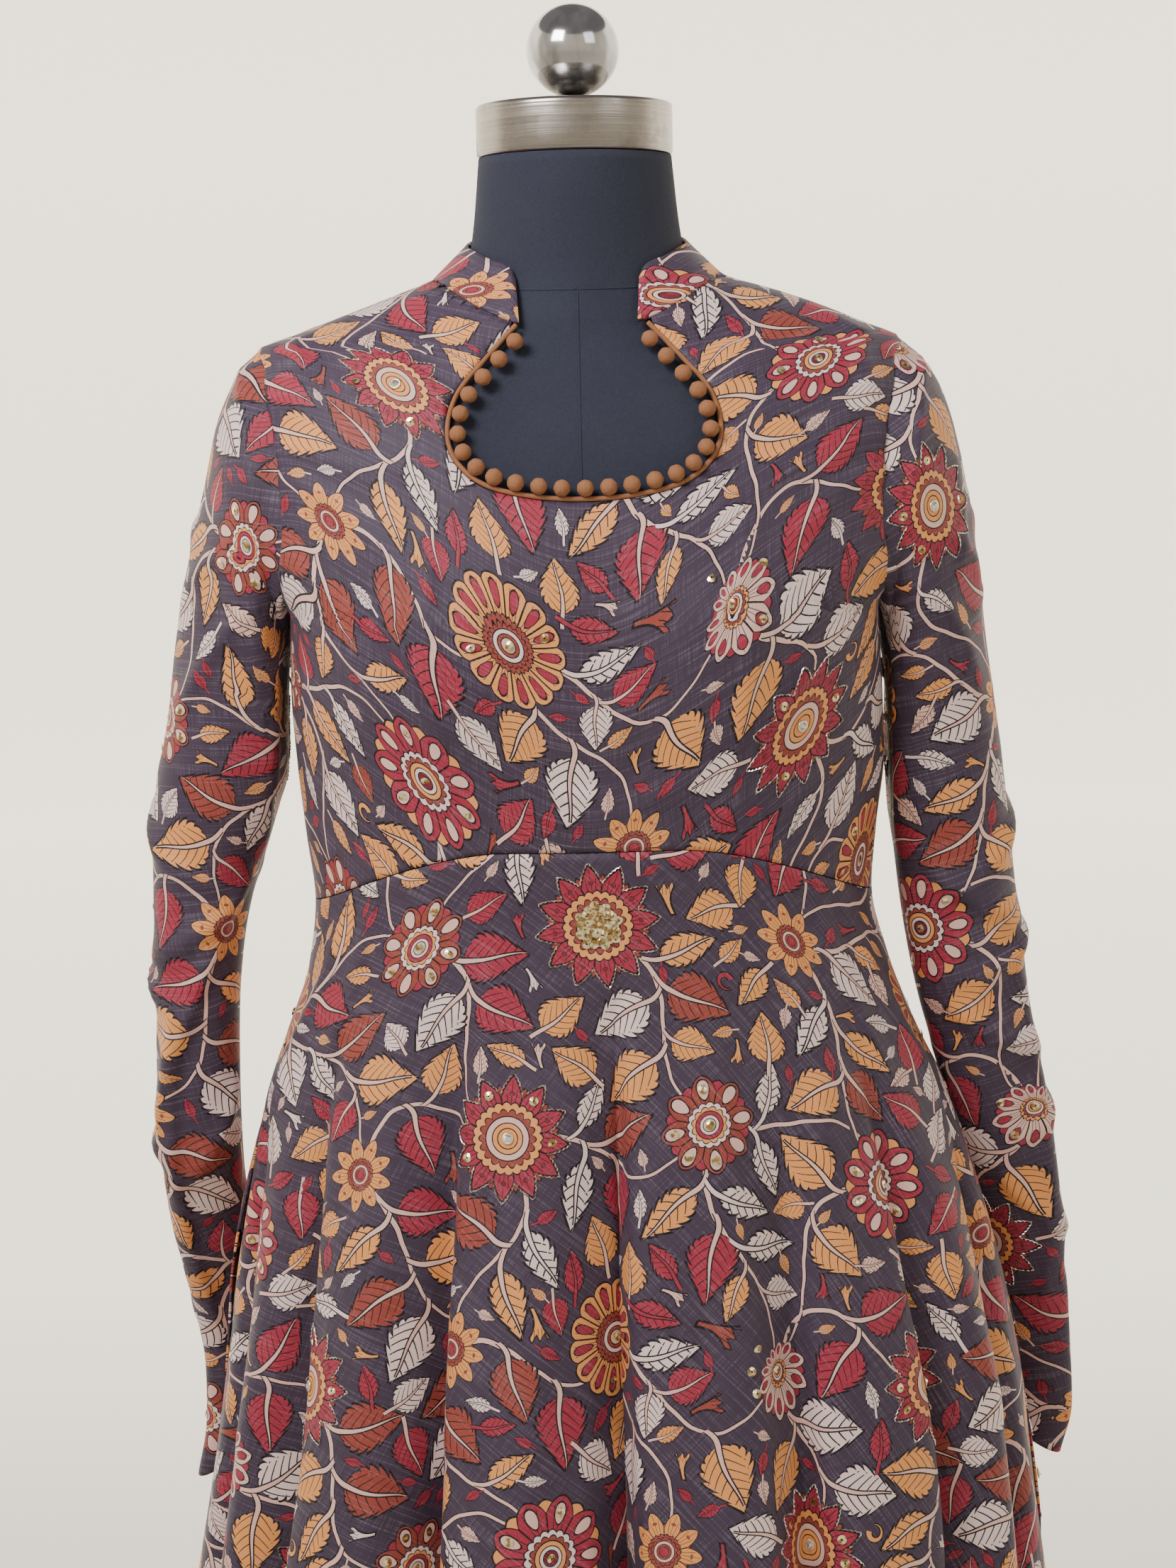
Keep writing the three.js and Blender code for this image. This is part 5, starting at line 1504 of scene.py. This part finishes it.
for turn, low, high in FORM_SEAMS:
    add_seam(bm, form_point(np.full(150, float(turn)), np.linspace(low, high, 150)))
around = np.linspace(0, 360, 181)
add_seam(bm, form_point(around, 1390 + 8 * (1 - np.cos(np.radians(around)))))
piece = finished("form_body", bm, navy)
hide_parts("form_torso")


def spun(profile, merge, steps=96):
    """An outline of radius and height spun round the upright axis."""
    bm = bmesh.new()
    line = [bm.verts.new((r, 0, z)) for r, z in profile]
    edges = [bm.edges.new(pair) for pair in zip(line, line[1:])]
    bmesh.ops.spin(bm, geom=line + edges, axis=(0, 0, 1), cent=(0, 0, 0), steps=steps,
                   angle=2 * math.pi, use_merge=True)
    bmesh.ops.remove_doubles(bm, verts=bm.verts, dist=merge)
    return bm


def rounded(profile, radius, steps=5):
    """The same outline with each inner corner rounded."""
    points = [np.array(p, float) for p in profile]
    out = [points[0]]
    for a, b, c in zip(points, points[1:], points[2:]):
        reach = min(radius, np.linalg.norm(a - b) * 0.45, np.linalg.norm(c - b) * 0.45)
        start, end = b + (a - b) / np.linalg.norm(a - b) * reach, b + (c - b) / np.linalg.norm(c - b) * reach
        for f in np.linspace(0, 1, steps):
            out.append(start * (1 - f) ** 2 + 2 * b * f * (1 - f) + end * f ** 2)
    return out + [points[-1]]


steel = plain("cap_steel", (0.50, 0.47, 0.43), 0.38, 1)
tree, surface, place = surface_of(steel)
x, y, z = place.parts()
grain = place.node("ShaderNodeCombineXYZ", {0: x * 9, 1: y * 9, 2: z * 900}).noise(1.0, 3.0)
dull = ((place.noise(55.0, 4.0) - 0.52) * 5).held()
shade = tone(tree, (0.46, 0.43, 0.40)).over(tone(tree, (0.22, 0.20, 0.18)), grain)
tone(tree, (0.15, 0.13, 0.11)).over(shade, dull * 0.6).into(surface, "Base Color")
(0.20 + grain * 0.14 + dull * 0.25).into(surface, "Roughness")
grain.raise_grain(surface, 0.25, 0.0004)

chrome = plain("ball_chrome", (0.50, 0.50, 0.52), 0.13, 1)
tree, surface, place = surface_of(chrome)
x, y, z = place.parts()
# Painted reflection: dark patches of a reflected room are painted into the chrome's colour, stronger towards
# the ball's bottom.
room = place.node("ShaderNodeCombineXYZ", {0: x * 75, 1: y * 75, 2: z * 28}).noise(1.0, 2.0)
painted_reflection, under = ((room - 0.47) * 9).held(), ((1.532 - z) * 70).held()
shade = tone(tree, (0.07, 0.07, 0.075)).over(tone(tree, (0.58, 0.58, 0.60)), painted_reflection * (0.25 + under * 0.35))
shade.into(surface, "Base Color")
paint = plain("base_paint", (0.03, 0.03, 0.035), 0.5)

# Outlines of radius and height, in mm. The ball stands on its foot, a little flattened.
BALL, BALL_LEVEL, BALL_FOOT = 26.8, 1529, 1503
foot = math.asin((BALL_FOOT - BALL_LEVEL) / BALL)
arc = [(BALL * math.cos(a), BALL_LEVEL + BALL * math.sin(a)) for a in np.linspace(foot, math.pi / 2, 40)]
cap = rounded([(0, 1468.3), (57, 1468.3), (57, 1498), (0, 1502.5)], 3)
ball = [(0, BALL_FOOT)] + arc[:-1] + [(0, BALL_LEVEL + BALL)]
pole = rounded([(0, 14.3), (12.5, 14.3), (12.5, 849.7), (0, 849.7)], 0.8)
plate = rounded([(0, 0), (175, 0), (175, 8), (169, 14), (0, 14)], 1.5)
for name, profile, material, steps, solid, slot in (
        ("neck_cap_steel", cap, steel, 96, "neck_cap", "cap_steel"),
        ("finial_ball_chrome", ball, chrome, 96, "finial_ball", "ball_chrome"),
        ("stand_pole_steel", pole, steel, 48, "stand_pole", "pole_steel"),
        ("stand_base_plate", plate, paint, 96, "stand_base", "base_paint")):
    piece = finished(name, spun([(r * MM, z * MM) for r, z in profile], 1e-6, steps), material)
    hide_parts(solid)


# ---------------------------------------------------------------- camera, light and floor
# The camera stands 1.85 m in front of the form, level with its chest and tipped down a little.

eye = Vector((0, -1.848, 1.313))
pitch, roll = math.radians(6.5), math.radians(1.2)
ahead = Vector((0, math.cos(pitch), -math.sin(pitch)))
level_right, level_up = Vector((1, 0, 0)), Vector((0, math.sin(pitch), math.cos(pitch)))
right = level_right * math.cos(roll) - level_up * math.sin(roll)
up = level_up * math.cos(roll) + level_right * math.sin(roll)
camera = bpy.data.objects.new("camera", bpy.data.cameras.new("camera"))
camera.data.lens = 72
camera.data.sensor_width = 36
camera.matrix_world = Matrix.Translation(eye) @ Matrix(
    ((right.x, up.x, -ahead.x, 0), (right.y, up.y, -ahead.y, 0), (right.z, up.z, -ahead.z, 0),
     (0, 0, 0, 1)))
bpy.context.scene.collection.objects.link(camera)
bpy.context.scene.camera = camera

world = bpy.data.worlds.new("studio")
bpy.context.scene.world = world
world.use_nodes = True
world.node_tree.nodes["Background"].inputs["Color"].default_value = (0.75, 0.71, 0.67, 1)
world.node_tree.nodes["Background"].inputs["Strength"].default_value = 0.33


def softbox(name, place, aim, size, power, colour):
    light = bpy.data.objects.new(name, bpy.data.lights.new(name, "AREA"))
    light.data.shape = "RECTANGLE"
    light.data.size, light.data.size_y = size
    light.data.energy = power
    light.data.color = colour
    light.location = place
    light.rotation_euler = (Vector(aim) - Vector(place)).to_track_quat("-Z", "Y").to_euler()
    bpy.context.scene.collection.objects.link(light)


softbox("key", (-0.95, -1.15, 2.45), (0, 0, 2.35), (0.8, 0.8), 48, (1, 0.97, 0.99))
softbox("fill", (1.5, -1.5, 2.5), (0, 0, 1.8), (1.0, 1.0), 7, (0.95, 0.97, 1))

wall = [(9 + 2.5 * math.sin(a), 2.5 - 2.5 * math.cos(a)) for a in np.linspace(0, math.pi / 2, 16)]
mesh = mesh_of("floor", spun([(0, 0)] + wall + [(11.5, 9)], 1e-5))
floor = bpy.data.objects.new("floor", mesh)
bpy.context.scene.collection.objects.link(floor)
backdrop_glow = plain("floor_glow", (0.80, 0.78, 0.745), 0.95)
# Painted light: the floor and its curved wall glow, brightly behind the form and hardly at all in front of
# it and under it.
tree, glow, place = surface_of(backdrop_glow)
_, behind, _ = place.parts()
lit = ((behind - 0.3) / 2.6).held(0.04)
tone(tree, (1.0, 0.925, 0.765)).over(tone(tree, (0, 0, 0)), lit).into(glow, "Emission Color")
glow.inputs["Emission Strength"].default_value = 1.56
floor.data.materials.append(backdrop_glow)
floor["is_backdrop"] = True

boxes = {"at_load": bounds_at_load, "at_finish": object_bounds()}
{name: [list(corner) for corner in box] for name, box in boxes.items()}
